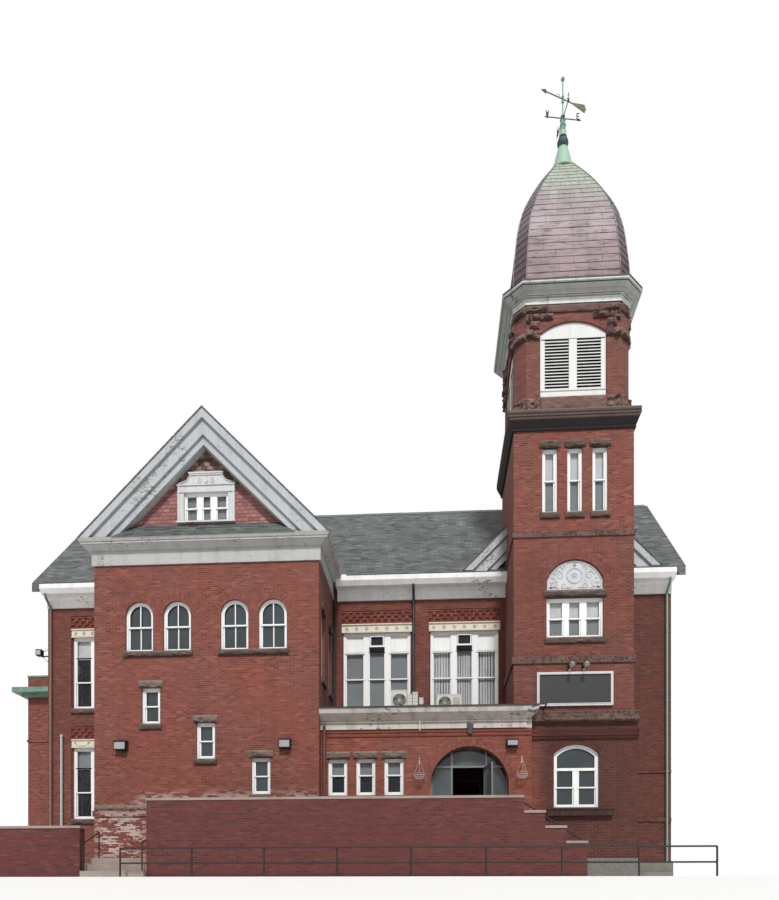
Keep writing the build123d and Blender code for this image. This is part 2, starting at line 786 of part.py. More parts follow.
def fixed_hinges():
    """The screen's half of each door hinge: a knuckle with a pin standing on it."""
    halves = Part()
    for level in hinge_levels():
        halves += Pos(0, 0, level - KNUCKLE_HEIGHT / 2) * Cylinder(KNUCKLE_RADIUS, KNUCKLE_HEIGHT)
        halves += Pos(0, 0, level - KNUCKLE_HEIGHT) * bar(PIN_RADIUS, 2 * KNUCKLE_HEIGHT)
        halves += span(0, HINGE_PLATE, 0, KNUCKLE_RADIUS + DOOR_GAP, level - KNUCKLE_HEIGHT, level)
    return HINGE_LINE * halves


def door_hinges():
    """The door's half of each hinge: a knuckle that sits on the fixed one, round its pin."""
    halves = Part()
    for level in hinge_levels():
        foot = level + KNUCKLE_GAP
        middle = foot + KNUCKLE_HEIGHT / 2
        halves += Pos(0, 0, middle) * Cylinder(KNUCKLE_RADIUS, KNUCKLE_HEIGHT)
        halves += span(-HINGE_PLATE, 0, 0, KNUCKLE_RADIUS + DOOR_GAP, foot, foot + KNUCKLE_HEIGHT)
        halves -= Pos(0, 0, middle) * Cylinder(PIN_RADIUS + PIN_CLEARANCE, KNUCKLE_HEIGHT)
    return halves


def entrance_screen():
    """The metal screen that fills the arch behind the wall, open at the doorway."""
    near = PORCH_FRONT + WALL
    far = near + SCREEN_DEPTH
    left = ARCH_CENTRE - ARCH_RADIUS - SCREEN_BAR
    right = ARCH_CENTRE + ARCH_RADIUS + SCREEN_BAR
    top = ARCH_SPRINGING + ARCH_RADIUS + SCREEN_BAR
    bars = [
        span(left, left + 2 * SCREEN_BAR, near, far, GROUND_FLOOR, top),
        span(right - 2 * SCREEN_BAR, right, near, far, GROUND_FLOOR, top),
        span(DOOR_LEFT - SCREEN_BAR, DOOR_LEFT, near, far, GROUND_FLOOR, top),
        span(DOOR_RIGHT, DOOR_RIGHT + SCREEN_BAR, near, far, GROUND_FLOOR, top),
        span(left, right, near, far, DOOR_HEAD, DOOR_HEAD + SCREEN_BAR),
        span(left, right, near, far, top - SCREEN_BAR, top),
    ]
    screen = Part()
    for bar in bars:
        screen += bar
    return screen + fixed_hinges()


def entrance_glass():
    """Glass sheets in the screen's fixed lights."""
    near = PORCH_FRONT + WALL + SCREEN_DEPTH / 2
    far = near + GLASS
    left = ARCH_CENTRE - ARCH_RADIUS + SCREEN_BAR
    right = ARCH_CENTRE + ARCH_RADIUS - SCREEN_BAR
    top = ARCH_SPRINGING + ARCH_RADIUS
    head = DOOR_HEAD + SCREEN_BAR
    return [
        span(left, DOOR_LEFT - SCREEN_BAR, near, far, GROUND_FLOOR, DOOR_HEAD),
        span(DOOR_RIGHT + SCREEN_BAR, right, near, far, GROUND_FLOOR, DOOR_HEAD),
        span(left, DOOR_LEFT - SCREEN_BAR, near, far, head, top),
        span(DOOR_LEFT, DOOR_RIGHT, near, far, head, top),
        span(DOOR_RIGHT + SCREEN_BAR, right, near, far, head, top),
    ]


def door_panel(inset, foot_inset, thickness):
    """A sheet of the closed door, measured from its hinge line."""
    middle = KNUCKLE_RADIUS + DOOR_GAP + DOOR_THICKNESS / 2
    left = DOOR_LEFT - DOOR_RIGHT + DOOR_GAP + inset
    right = -DOOR_GAP - inset
    foot = GROUND_FLOOR + DOOR_GAP + foot_inset
    top = DOOR_HEAD - DOOR_GAP - inset
    return span(left, right, middle - thickness / 2, middle + thickness / 2, foot, top)


def entrance_door():
    """The glazed leaf's frame, standing open."""
    leaf = door_panel(0, 0, DOOR_THICKNESS) - door_panel(DOOR_STILE, 2 * DOOR_STILE, DOOR_THICKNESS)
    return DOOR_SWING * (leaf + door_hinges())


def entrance_door_glass():
    return DOOR_SWING * door_panel(DOOR_STILE, 2 * DOOR_STILE, GLASS)


def entrance_landing():
    """The landing in the arch and the step below it."""
    left = ARCH_CENTRE - ARCH_RADIUS
    right = ARCH_CENTRE + ARCH_RADIUS
    front = PORCH_FRONT - LANDING_REACH
    sill = span(left, right, PORCH_FRONT, PORCH_FRONT + WALL, PLINTH_TOP, GROUND_FLOOR)
    landing = span(left, TERRACE_RIGHT, front, PORCH_FRONT, TERRACE_FLOOR, GROUND_FLOOR)
    step = span(left, TERRACE_RIGHT, front - ARCH_TREAD, front, TERRACE_FLOOR, GROUND_FLOOR - ARCH_STEP)
    return sill + landing + step


def tower_front_wall():
    wall = span(
        TOWER_LEFT, TOWER_RIGHT, TOWER_FRONT, TOWER_FRONT + TOWER_WALL, PLINTH_TOP, TOWER_SHAFT_TOP
    )
    dressings = [wall_dressing[name] for name in ("segmental", "tympanum", "tower_tall")]
    return pierced(wall, *dressings) - tympanum_arch(TOWER_FRONT - CUT, TOWER_FRONT + STONE_BED)


def tower_side_walls():
    """The tower's side walls; the right one is thicker in its ground storey."""
    near = TOWER_FRONT + TOWER_WALL
    far = TOWER_REAR - TOWER_WALL
    left = span(TOWER_LEFT, TOWER_LEFT + TOWER_WALL, near, far, PLINTH_TOP, TOWER_SHAFT_TOP)
    right = span(TOWER_RIGHT - TOWER_WALL, TOWER_RIGHT, near, far, PLINTH_TOP, TOWER_SHAFT_TOP)
    outside = TOWER_RIGHT + TOWER_FOOT_REACH
    right += span(TOWER_RIGHT, outside, TOWER_FRONT, MAIN_FRONT, PLINTH_TOP, TOWER_FOOT_TOP)
    return [left, pierced(right, wall_dressing["tower_right"])]


def tower_rear_wall():
    return span(TOWER_LEFT, TOWER_RIGHT, TOWER_REAR - TOWER_WALL, TOWER_REAR, GROUND_FLOOR, TOWER_SHAFT_TOP)


def tympanum_arch(near, far):
    """The arched space over the tower's triple window."""
    window = TYMPANUM_TRIPLE[0]
    foot = window.sill + window.height + TRANSOM_STONE
    arch = Pos(window.at, foot) * outline(window.width, TYMPANUM_HEIGHT, TYMPANUM_RISE)
    return upright(arch, near, far)


def tympanum():
    """The arched panel over the tower's triple window."""
    return tympanum_arch(TOWER_FRONT + TYMPANUM_SETBACK, TOWER_FRONT + STONE_BED)


@cache
def tower_cornice():
    """The brownstone cornice between the shaft and the belfry, which carries the belfry's floor."""
    sides = (TOWER_LEFT, TOWER_RIGHT, TOWER_FRONT, TOWER_REAR)
    cornice = moulded(*sides, TOWER_SHAFT_TOP, TOWER_CORNICE_TOP, TOWER_MOULDING, TOWER_CORNICE_REACH)
    near = TOWER_FRONT + TOWER_WALL
    far = TOWER_REAR - TOWER_WALL
    ceiling = TOWER_CORNICE_TOP - FLOOR_THICKNESS
    return cornice - span(TOWER_LEFT + TOWER_WALL, TOWER_RIGHT - TOWER_WALL, near, far, 0, ceiling)


def band_round_tower(foot, top, reach):
    """A stone band on the tower's front and sides, back to the main wall."""
    outer = span(TOWER_LEFT - reach, TOWER_RIGHT + reach, TOWER_FRONT - reach, MAIN_FRONT, foot, top)
    porch = span(PAVILION_RIGHT, PORCH_RIGHT, PORCH_FRONT, MAIN_FRONT, 0, PORCH_TOP)
    return outer - tower_box() - porch - porch_cornice() - roof_slope(True)


def string_courses():
    """The brick string courses on the pavilion's left part, the main wall's right part and the wing."""
    foot, top, reach = WATER_TABLE
    right = TERRACE_LEFT - COPING_REACH
    courses = [span(PAVILION_LEFT - reach, right, -reach, 0, foot, top)]
    left = TOWER_RIGHT + TOWER_FOOT_REACH
    for foot, top, reach in RIGHT_STRINGS:
        courses.append(span(left, MAIN_RIGHT, MAIN_FRONT - reach, MAIN_FRONT, foot, top))
    foot, top, reach = WING_STRING
    courses.append(span(WING_LEFT - reach, MAIN_LEFT, WING_FRONT - reach, WING_FRONT, foot, top))
    return courses


def tower_bands():
    """The stone string courses round the tower."""
    return [
        band_round_tower(foot, top, reach)
        for foot, top, reach in TOWER_BANDS
    ]


def belfry_opening(inset=0):
    """The outline of a belfry opening, from its sill to its low arched head."""
    width = BELFRY_OPENING_WIDTH - 2 * inset
    height = BELFRY_SPRINGING + BELFRY_HEAD_RISE - BELFRY_OPENING_SILL - 2 * inset
    return Pos(0, BELFRY_OPENING_SILL + inset) * outline(width, height, BELFRY_HEAD_RISE)


def belfry_sides():
    """The frames of the belfry's four faces, each seen from outside."""
    half = BELFRY_SIDE / 2
    frames = []
    for quarter in range(4):
        turn = Location((TOWER_CENTRE, TOWER_MIDDLE, 0), (0, 0, 90 * quarter))
        frames.append(turn * Location((0, -half, 0)))
    return frames


def belfry_walls():
    """The belfry: a brick box with cut corners and an arched opening in each side."""
    hollow = BELFRY_SIDE - 2 * BELFRY_WALL
    walls = plate(BELFRY_SIDE, BELFRY_CHAMFER, TOWER_CORNICE_TOP, BELFRY_TOP)
    walls -= Pos(TOWER_CENTRE, TOWER_MIDDLE, TOWER_CORNICE_TOP) * extrude(
        Rectangle(hollow, hollow), amount=BELFRY_TOP - TOWER_CORNICE_TOP
    )
    opening = upright(belfry_opening(), -CUT, BELFRY_WALL + CUT)
    return walls - [side * opening for side in belfry_sides()]


def belfry_stones():
    """The rock-faced courses round the belfry: base, imposts and lintel."""
    opening = upright(belfry_opening(), -2 * CUT, BELFRY_WALL)
    stones = []
    for foot, top, reach in BELFRY_COURSES:
        course = plate(BELFRY_SIDE + 2 * reach, BELFRY_CHAMFER, foot, top)
        course -= plate(BELFRY_SIDE, BELFRY_CHAMFER, foot, top)
        stones.append(course - [side * opening for side in belfry_sides()])
    return stones


def louvre_panels():
    """The louvred screens in the belfry's openings: a frame, a centre post and sloping blades."""
    clear = belfry_opening(FRAME_FACE)
    foot = BELFRY_OPENING_SILL + LOUVRE_SILL
    top = BELFRY_SPRINGING - LOUVRE_HEAD
    half = BELFRY_OPENING_WIDTH / 2 - LOUVRE_STILE
    lights = Sketch()
    for side in (-1, 1):
        width = half - LOUVRE_POST / 2
        lights += Pos(side * (LOUVRE_POST / 2 + width / 2), (foot + top) / 2) * Rectangle(width, top - foot)
    frame = upright(belfry_opening() - (lights & clear), LOUVRE_SETBACK, LOUVRE_SETBACK + LOUVRE_DEPTH)
    pitch = (top - foot) / LOUVRE_BLADES
    for blade in range(LOUVRE_BLADES):
        level = foot + (blade + 0.5) * pitch
        slat = Pos(0, LOUVRE_SETBACK + LOUVRE_DEPTH / 2, level) * Rot(X=LOUVRE_SLOPE) * Box(
            2 * half, LOUVRE_DEPTH * 0.9, LOUVRE_THICKNESS
        )
        frame += slat
    return [side * frame for side in belfry_sides()]


def crown_cornice():
    """The white cornice under the dome: stepped mouldings round a closed ceiling."""
    rings = []
    for level, reach in levels(CROWN_MOULDING, BELFRY_TOP, CROWN_TOP):
        side = BELFRY_SIDE + reach * (CROWN_SIDE - BELFRY_SIDE)
        chamfer = BELFRY_CHAMFER + reach * (CROWN_CHAMFER - BELFRY_CHAMFER)
        rings.append([(x, y, level) for x, y in chamfered_square(side, chamfer)])
    cornice = on_axis(stacked(rings))
    hollow = DOME_SIDE - 2 * DOME_SHELL
    return cornice - plate(hollow, DOME_CHAMFER, BELFRY_TOP + CROWN_CEILING, CROWN_TOP)


def dome_solid(inset=0):
    """The dome's outer form, drawn in by an inset. Its cut corners narrow with it."""
    rings = []
    for level, half in DOME_PROFILE:
        side = 2 * (half - inset)
        corners = chamfered_square(side, side * DOME_CHAMFER / DOME_SIDE)
        rings.append([(x, y, level) for x, y in corners])
    return stacked(rings)


def dome():
    """The copper dome, a shell on its boards."""
    return Pos(TOWER_CENTRE, TOWER_MIDDLE, CROWN_TOP) * (dome_solid() - dome_solid(DOME_SHELL))


def on_axis(solid):
    """Moves a piece of the tower's top to the tower's axis."""
    return Pos(TOWER_CENTRE, TOWER_MIDDLE, 0) * solid


def ball(radius, neck, middle):
    """The profile of a ball between two necks, in chords."""
    limit = math.acos(neck / radius)
    turns = [limit * (2 * chord / BALL_CHORDS - 1) for chord in range(BALL_CHORDS + 1)]
    return [(middle + radius * math.sin(turn), radius * math.cos(turn)) for turn in turns]


def finial():
    """The copper finial: a cone, a ball, a ring and a post, with the fixed mast on top."""
    cone_top = DOME_TOP + FINIAL_CONE_HEIGHT
    ring_foot = cone_top + 2 * FINIAL_BALL
    ring_top = ring_foot + FINIAL_RING_HEIGHT
    seat_top = FINIAL_TOP + VANE_HEIGHT - VANE_HUB_HEIGHT / 2 - VANE_SEAT_GAP
    seat_foot = seat_top - VANE_SEAT_HEIGHT
    profile = [(DOME_TOP, DOME_PROFILE[-1][1]), (cone_top, FINIAL_NECK)]
    profile += ball(FINIAL_BALL, FINIAL_NECK, cone_top + FINIAL_BALL)
    profile += [(ring_foot, FINIAL_NECK), (ring_foot, FINIAL_RING), (ring_top, FINIAL_RING)]
    profile += [(ring_top, FINIAL_RING * FINIAL_POST_SHARE), (FINIAL_TOP, FINIAL_NECK)]
    profile += [(FINIAL_TOP, MAST_RADIUS), (seat_foot, MAST_RADIUS), (seat_foot, VANE_HUB)]
    profile += [(seat_top, VANE_HUB), (seat_top, MAST_RADIUS)]
    profile += ball(MAST_TOP_BALL, MAST_RADIUS, FINIAL_TOP + MAST_HEIGHT)
    return on_axis(turned(profile))


def compass_arms():
    """Four fixed arms on a collar at the foot of the mast."""
    level = FINIAL_TOP + ARM_HEIGHT
    foot = level - ARM_HEIGHT
    top = level + ARM_HEIGHT
    collar = turned([(foot, FINIAL_NECK), (top, FINIAL_NECK)])
    arms = Part()
    for quarter in range(4):
        arm = Rot(Y=90) * bar(ARM_RADIUS, ARM_REACH)
        arms += Pos(0, 0, level) * Rot(Z=ARM_TURN + 90 * quarter) * arm
    return on_axis(collar + arms - turned([(foot, MAST_RADIUS), (top, MAST_RADIUS)]))


def weather_vane():
    """The turning arrow: a hub on the mast, a rod, an arrow head and a tail."""
    hub = Pos(0, 0, -VANE_HUB_HEIGHT / 2) * extrude(
        RegularPolygon(VANE_HUB, TURNED_SIDES), amount=VANE_HUB_HEIGHT
    )
    rod = Pos(-VANE_TIP_REACH, 0, 0) * Rot(Y=90) * bar(VANE_ROD, VANE_TIP_REACH + VANE_TAIL_REACH)
    tip = Pos(-VANE_TIP_REACH, 0, 0) * upright(polygon(VANE_TIP), -VANE_SHEET / 2, VANE_SHEET / 2)
    tail = upright(polygon(VANE_TAIL), -VANE_SHEET / 2, VANE_SHEET / 2)
    hole = Cylinder(MAST_RADIUS + VANE_CLEARANCE, VANE_HUB_HEIGHT)
    vane = Pos(0, 0, FINIAL_TOP + VANE_HEIGHT) * Rot(Z=VANE_TURN) * (hub + rod + tip + tail - hole)
    return on_axis(vane)


@cache
def roof_slope(front):
    """One slope of the main roof; the front one stands clear of the tower."""
    drop = ROOF_THICKNESS * math.sqrt(2)
    eaves = EAVES_FRONT if front else EAVES_REAR
    points = [
        (eaves, EAVES_TOP),
        (RIDGE_Y, RIDGE_TOP),
        (RIDGE_Y, RIDGE_TOP - drop),
        (eaves, EAVES_TOP - drop),
    ]
    slope = lengthwise(points, MAIN_LEFT - VERGE_OVERHANG, MAIN_RIGHT + VERGE_OVERHANG)
    return slope - tower_box() if front else slope


@cache
def pavilion_roof():
    return gable_roof(PAVILION_CENTRE, PAVILION_HALF_ROOF, -PAVILION_OVERHANG)


@cache
def cross_roof():
    roof = gable_roof(TOWER_CENTRE, CROSS_HALF_WIDTH, CROSS_FRONT)
    return roof - tower_box() - tower_cornice()


def pent_roof():
    """The narrow shingled roof at the foot of the pavilion's gable."""
    half = PAVILION_HALF_ROOF - RAKE_BOARD * math.sqrt(2)
    near = -PAVILION_OVERHANG
    far = PAVILION_GABLE_SETBACK
    points = [(near, EAVES_TOP), (far, EAVES_TOP), (far, EAVES_TOP + PENT_RISE)]
    roof = lengthwise(points, PAVILION_CENTRE - half, PAVILION_CENTRE + half)
    return roof - pavilion_rake()


def cross_gable_wall():
    """The gable wall beside the tower, in line with the main front wall."""
    drop = ROOF_THICKNESS * math.sqrt(2)
    foot = wall_top(MAIN_FRONT) + drop
    half = CROSS_HALF_WIDTH + EAVES_TOP - foot - drop
    points = [(TOWER_CENTRE - half, foot), (TOWER_CENTRE + half, foot), (TOWER_CENTRE, foot + half)]
    wall = upright(polygon(points), MAIN_FRONT, MAIN_FRONT + WALL)
    return wall - below_main_roof() - tower_box()


def eaves_run(x0, x1, facing):
    """A length of the white eaves cornice: frieze, soffit and gutter. facing is 1 at the rear."""
    wall = MAIN_REAR if facing > 0 else MAIN_FRONT
    foot_of_roof = EAVES_TOP - ROOF_THICKNESS * math.sqrt(2)
    soffit = foot_of_roof - CORNICE_STEP / 2
    out = EAVES_OVERHANG + GUTTER_REACH
    profile = [
        (0, FRIEZE_FOOT),
        (FRIEZE_REACH, FRIEZE_FOOT),
        (FRIEZE_REACH, foot_of_roof - CORNICE_STEP),
        (EAVES_OVERHANG / 3, soffit),
        (EAVES_OVERHANG, soffit),
        (out, foot_of_roof + CORNICE_STEP / 2),
        (out, EAVES_TOP - ROOF_LIP),
        (EAVES_OVERHANG, EAVES_TOP - ROOF_LIP),
        (EAVES_OVERHANG, foot_of_roof),
        (0, foot_of_roof),
    ]
    return lengthwise([(wall + facing * reach, level) for reach, level in profile], x0, x1)


def eaves_cornice():
    clear = CORNICE_STEP
    runs = [
        eaves_run(MAIN_LEFT, PAVILION_LEFT - clear, -1),
        eaves_run(PAVILION_RIGHT + clear, TOWER_LEFT, -1),
        eaves_run(TOWER_RIGHT, MAIN_RIGHT, -1),
        eaves_run(MAIN_LEFT, MAIN_RIGHT, 1),
    ]
    return [run - pavilion_cornice() - pavilion_roof() for run in runs]


@cache
def pavilion_cornice():
    """The white cornice round the pavilion: frieze, cove and crown on its front and sides."""
    sides = (PAVILION_LEFT, PAVILION_RIGHT, 0, MAIN_FRONT)
    cornice = moulded(*sides, FRIEZE_FOOT, EAVES_TOP, PAVILION_MOULDING, PAVILION_OVERHANG)
    behind = MAIN_FRONT + PAVILION_OVERHANG
    cornice -= span(PAVILION_LEFT, PAVILION_RIGHT, 0, behind, 0, EAVES_TOP)
    cornice -= span(PLAN_LEFT, PLAN_RIGHT, MAIN_FRONT, behind, 0, EAVES_TOP)
    return cornice - roof_slope(True)


def raking_cornice(centre, half, front, wall_face):
    """The white raking cornice on a gable: crown, flat band and inner board."""
    under = front + RAKE_CROWN_DEPTH
    crown = upright(gable_band(centre, half, ROOF_LIP, RAKE_CROWN), front, under)
    band = upright(gable_band(centre, half, ROOF_THICKNESS, RAKE_BAND), under, wall_face)
    inner = under + RAKE_BOARD_SETBACK
    board = upright(gable_band(centre, half, RAKE_BAND, RAKE_BOARD), inner, wall_face)
    return crown + band + board


@cache
def pavilion_rake():
    return raking_cornice(PAVILION_CENTRE, PAVILION_HALF_ROOF, -PAVILION_OVERHANG, PAVILION_GABLE_SETBACK)


def raking_cornices():
    cross = raking_cornice(TOWER_CENTRE, CROSS_HALF_WIDTH, CROSS_FRONT, MAIN_FRONT)
    return [pavilion_rake(), cross - tower_box() - tower_cornice() - below_main_roof()]


def attic_surround():
    """The white surround of the attic window, with its flared head."""
    window = ATTIC[0]
    top = window.sill + window.height
    half = window.width / 2 + SURROUND_EAR
    head = SURROUND_HEAD_HALF
    shoulder = top + SURROUND_TOP
    board = polygon([
        (window.at - half, window.sill - SURROUND_APRON),
        (window.at + half, window.sill - SURROUND_APRON),
        (window.at + half, shoulder),
        (window.at + (half + head) / 2 - SURROUND_EAR / 2, shoulder + SURROUND_HEAD / 3),
        (window.at + head, shoulder + SURROUND_HEAD),
        (window.at - head, shoulder + SURROUND_HEAD),
        (window.at - (half + head) / 2 + SURROUND_EAR / 2, shoulder + SURROUND_HEAD / 3),
        (window.at - half, shoulder),
    ])
    face = PAVILION_GABLE_SETBACK
    return upright(board - window_outline(window), face - SURROUND_DEPTH, face)


def rainwater_pipe(x, wall, foot, top):
    """A downpipe on a wall that faces the front, with its clips."""
    middle = wall - PIPE_STANDOFF - PIPE_RADIUS
    pipe = Pos(x, middle, foot) * bar(PIPE_RADIUS, top - foot)
    for clip in range(PIPE_CLIPS):
        level = foot + (clip + 0.5) * (top - foot) / PIPE_CLIPS
        pipe += span(x - PIPE_RADIUS, x + PIPE_RADIUS, middle, wall, level, level + PIPE_CLIP)
    return pipe


def rainwater_pipes():
    """The downpipes that show on the front."""
    corner = PAVILION_RIGHT + PIPE_INSET
    return [
        rainwater_pipe(corner, MAIN_FRONT, PORCH_ROOF_TOP, FRIEZE_FOOT),
        rainwater_pipe(BAY_PIPE, MAIN_FRONT, PORCH_ROOF_TOP, FRIEZE_FOOT),
        rainwater_pipe(corner + PIPE_INSET, PORCH_FRONT, TERRACE_FLOOR, PORCH_WALL_TOP),
        rainwater_pipe(RIGHT_PIPE, MAIN_FRONT, PLINTH_TOP, FRIEZE_FOOT),
        rainwater_pipe(LEFT_PIPE, MAIN_FRONT, PLINTH_TOP, FRIEZE_FOOT),
        rainwater_pipe(SHORT_PIPE, MAIN_FRONT, PLINTH_TOP, SHORT_PIPE_TOP),
    ]


def wall_lamps():
    """The lamp housings on the walls, and the flood lamp on its arm at the left corner."""
    lamps = [span(x0, x1, wall - LAMP_DEPTH, wall, z0, z1) for x0, x1, z0, z1, wall in LAMPS]
    length, thick = FLOOD_ARM
    near = MAIN_FRONT + FLOOD_HEAD
    left = MAIN_LEFT - length
    arm = span(left, MAIN_LEFT, near, near + thick, FLOOD_LEVEL, FLOOD_LEVEL + thick)
    half = FLOOD_HEAD / 2
    head = span(left - half, left + half, MAIN_FRONT, near, FLOOD_LEVEL, FLOOD_LEVEL + FLOOD_HEAD)
    return lamps + [arm + head]


def sign_board():
    """The bare board on the tower's front."""
    return span(SIGN_LEFT, SIGN_RIGHT, TOWER_FRONT - SIGN_DEPTH, TOWER_FRONT, SIGN_FOOT, SIGN_TOP)


def roof_units():
    """The cooling units on the porch roof, each on two feet."""
    units = []
    back = ROOF_UNIT_FRONT + ROOF_UNIT_DEPTH
    foot = PORCH_ROOF_TOP
    for x0, x1, height in ROOF_UNITS:
        case = span(x0, x1, ROOF_UNIT_FRONT, back, foot + ROOF_UNIT_FOOT, foot + height)
        for x in (x0, x1 - ROOF_UNIT_FOOT):
            case += span(x, x + ROOF_UNIT_FOOT, ROOF_UNIT_FRONT, back, foot, foot + ROOF_UNIT_FOOT)
        units.append(case)
    return units


def stair_handrails():
    """The handrails of the terrace stair and of the garden steps."""
    top = TERRACE_FLOOR + HANDRAIL_HEIGHT
    flight = (STAIR_RISERS - 0.5) * STAIR_TREAD
    stair = Pos(TERRACE_RIGHT - HANDRAIL_LEVEL_RUN, HANDRAIL_Y, top) * Rot(Y=90) * bar(
        HANDRAIL_RADIUS, HANDRAIL_LEVEL_RUN
    )
    slope = math.degrees(math.atan2(TERRACE_FLOOR, flight))
    stair += Pos(TERRACE_RIGHT, HANDRAIL_Y, top) * Rot(Y=90 + slope) * bar(
        HANDRAIL_RADIUS, math.hypot(flight, TERRACE_FLOOR)
    )
    level_end = TERRACE_RIGHT - HANDRAIL_LEVEL_RUN
    for x, drop in ((level_end, 0), (TERRACE_RIGHT, 0), (TERRACE_RIGHT + flight, TERRACE_FLOOR)):
        foot = TERRACE_FLOOR - drop
        stair += Pos(x, HANDRAIL_Y, foot) * bar(HANDRAIL_RADIUS, HANDRAIL_HEIGHT)
    rails = [stair]
    rise = GARDEN_STEP_RISERS * GARDEN_STEP_RISE
    for x in (GARDEN_RIGHT + PIPE_INSET, TERRACE_LEFT - PIPE_INSET):
        front = GARDEN_FRONT + PIPE_INSET
        back = front + GARDEN_STEP_RISERS * GARDEN_STEP_TREAD
        posts = ((front, GARDEN_STEP_RISE), (back, rise))
        rail = Part()
        for y, level in posts:
            rail += Pos(x, y, level) * bar(HANDRAIL_RADIUS, GARDEN_RAIL_HEIGHT)
        climb = math.degrees(math.atan2(rise - GARDEN_STEP_RISE, back - front))
        length = math.hypot(rise - GARDEN_STEP_RISE, back - front)
        top = GARDEN_STEP_RISE + GARDEN_RAIL_HEIGHT - HANDRAIL_RADIUS
        rail += Pos(x, front, top) * Rot(X=climb - 90) * bar(HANDRAIL_RADIUS, length)
        rails.append(rail)
    return rails


def terrace_walls():
    """The brick terrace wall, stepping down beside the stair, with its returns."""
    top = TERRACE_COPING_TOP - COPING_THICKNESS
    back = TERRACE_FRONT + TERRACE_WALL
    wall = span(TERRACE_LEFT, TERRACE_RIGHT, TERRACE_FRONT, back, 0, top)
    for step in range(STEP_WALL_STEPS):
        x0 = TERRACE_RIGHT + step * STEP_WALL_RUN
        wall += span(x0, x0 + STEP_WALL_RUN, TERRACE_FRONT, back, 0, top - (step + 1) * STEP_WALL_DROP)
    return wall + span(TERRACE_LEFT, TERRACE_LEFT + TERRACE_WALL, back, -PLINTH_PROJECTION, 0, top)


def terrace_coping():
    """Stone slabs on top of the terrace wall, one for each step."""
    reach = COPING_REACH
    back = TERRACE_FRONT + TERRACE_WALL + reach
    top = TERRACE_COPING_TOP
    foot = top - COPING_THICKNESS
    copings = [
        span(TERRACE_LEFT - reach, TERRACE_RIGHT, TERRACE_FRONT - reach, back, foot, top)
        + span(TERRACE_LEFT - reach, TERRACE_LEFT + TERRACE_WALL + reach, back, 0, foot, top),
    ]
    for step in range(STEP_WALL_STEPS):
        x0 = TERRACE_RIGHT + step * STEP_WALL_RUN
        drop = (step + 1) * STEP_WALL_DROP
        copings.append(
            span(x0, x0 + STEP_WALL_RUN + reach, TERRACE_FRONT - reach, back, foot - drop, top - drop)
        )
    return copings


def terrace_floor():
    """The raised terrace between its wall, the pavilion and the porch."""
    back = TERRACE_FRONT + TERRACE_WALL
    left = TERRACE_LEFT + TERRACE_WALL
    stair_back = PORCH_FRONT - PLINTH_PROJECTION
    floor = span(left, TERRACE_RIGHT, back, -PLINTH_PROJECTION, 0, TERRACE_FLOOR)
    floor += span(
        PAVILION_RIGHT + PLINTH_PROJECTION, TERRACE_RIGHT, -PLINTH_PROJECTION, stair_back, 0, TERRACE_FLOOR
    )
    rise = TERRACE_FLOOR / STAIR_RISERS
    for tread in range(1, STAIR_RISERS):
        x0 = TERRACE_RIGHT + (tread - 1) * STAIR_TREAD
        floor += span(x0, x0 + STAIR_TREAD, back, stair_back, 0, TERRACE_FLOOR - tread * rise)
    return floor


def garden_wall():
    top = GARDEN_TOP - COPING_THICKNESS
    return span(GARDEN_LEFT, GARDEN_RIGHT, GARDEN_FRONT, GARDEN_FRONT + GARDEN_WALL, 0, top)


def garden_coping():
    reach = COPING_REACH
    return span(
        GARDEN_LEFT,
        GARDEN_RIGHT + reach,
        GARDEN_FRONT - reach,
        GARDEN_FRONT + GARDEN_WALL + reach,
        GARDEN_TOP - COPING_THICKNESS,
        GARDEN_TOP,
    )


def garden_steps():
    """The concrete steps between the garden wall and the terrace."""
    steps = Part()
    for tread in range(GARDEN_STEP_RISERS):
        y0 = GARDEN_FRONT + tread * GARDEN_STEP_TREAD
        far = y0 + GARDEN_STEP_TREAD if tread < GARDEN_STEP_RISERS - 1 else y0 + GARDEN_LANDING
        steps += span(GARDEN_RIGHT, TERRACE_LEFT, y0, far, 0, (tread + 1) * GARDEN_STEP_RISE)
    return steps


def front_railing():
    """The pipe railing in front of the terrace."""
    rail = Rot(Y=90) * bar(RAIL_RADIUS, RAIL_BAYS * RAIL_PITCH)
    rails = Part()
    for level in (RAIL_TOP, RAIL_MIDDLE):
        rails += Pos(RAIL_LEFT, RAIL_FRONT, level) * rail
    for bay in range(RAIL_BAYS + 1):
        rails += Pos(RAIL_LEFT + bay * RAIL_PITCH, RAIL_FRONT, 0) * bar(RAIL_POST, RAIL_TOP)
    return rails


def wing_walls():
    """The walls of the flat-roofed wing at the far left."""
    outer = span(WING_LEFT, MAIN_LEFT, WING_FRONT, MAIN_REAR, PLINTH_TOP, WING_TOP)
    inner = span(WING_LEFT + WALL, MAIN_LEFT, WING_FRONT + WALL, MAIN_REAR - WALL, PLINTH_TOP, WING_TOP)
    return pierced(outer - inner, wall_dressing["wing_left"])


def wing_roof():
    top = WING_CORNICE_FOOT + WING_CORNICE_HEIGHT
    return span(WING_LEFT + WALL, MAIN_LEFT, WING_FRONT + WALL, MAIN_REAR - WALL, top - FLOOR_THICKNESS, top)


def wing_cornice():
    """The green copper cornice of the wing, on its front and side."""
    cornice = Part()
    for low, high, reach in ((0, 0.4, 0.4), (0.4, 1, 1)):
        cornice += span(
            WING_LEFT - reach * WING_CORNICE_REACH,
            MAIN_LEFT,
            WING_FRONT - reach * WING_CORNICE_REACH,
            MAIN_REAR,
            WING_CORNICE_FOOT + low * WING_CORNICE_HEIGHT,
            WING_CORNICE_FOOT + high * WING_CORNICE_HEIGHT,
        )
    return cornice - span(WING_LEFT, MAIN_LEFT, WING_FRONT, MAIN_REAR, 0, WING_TOP)


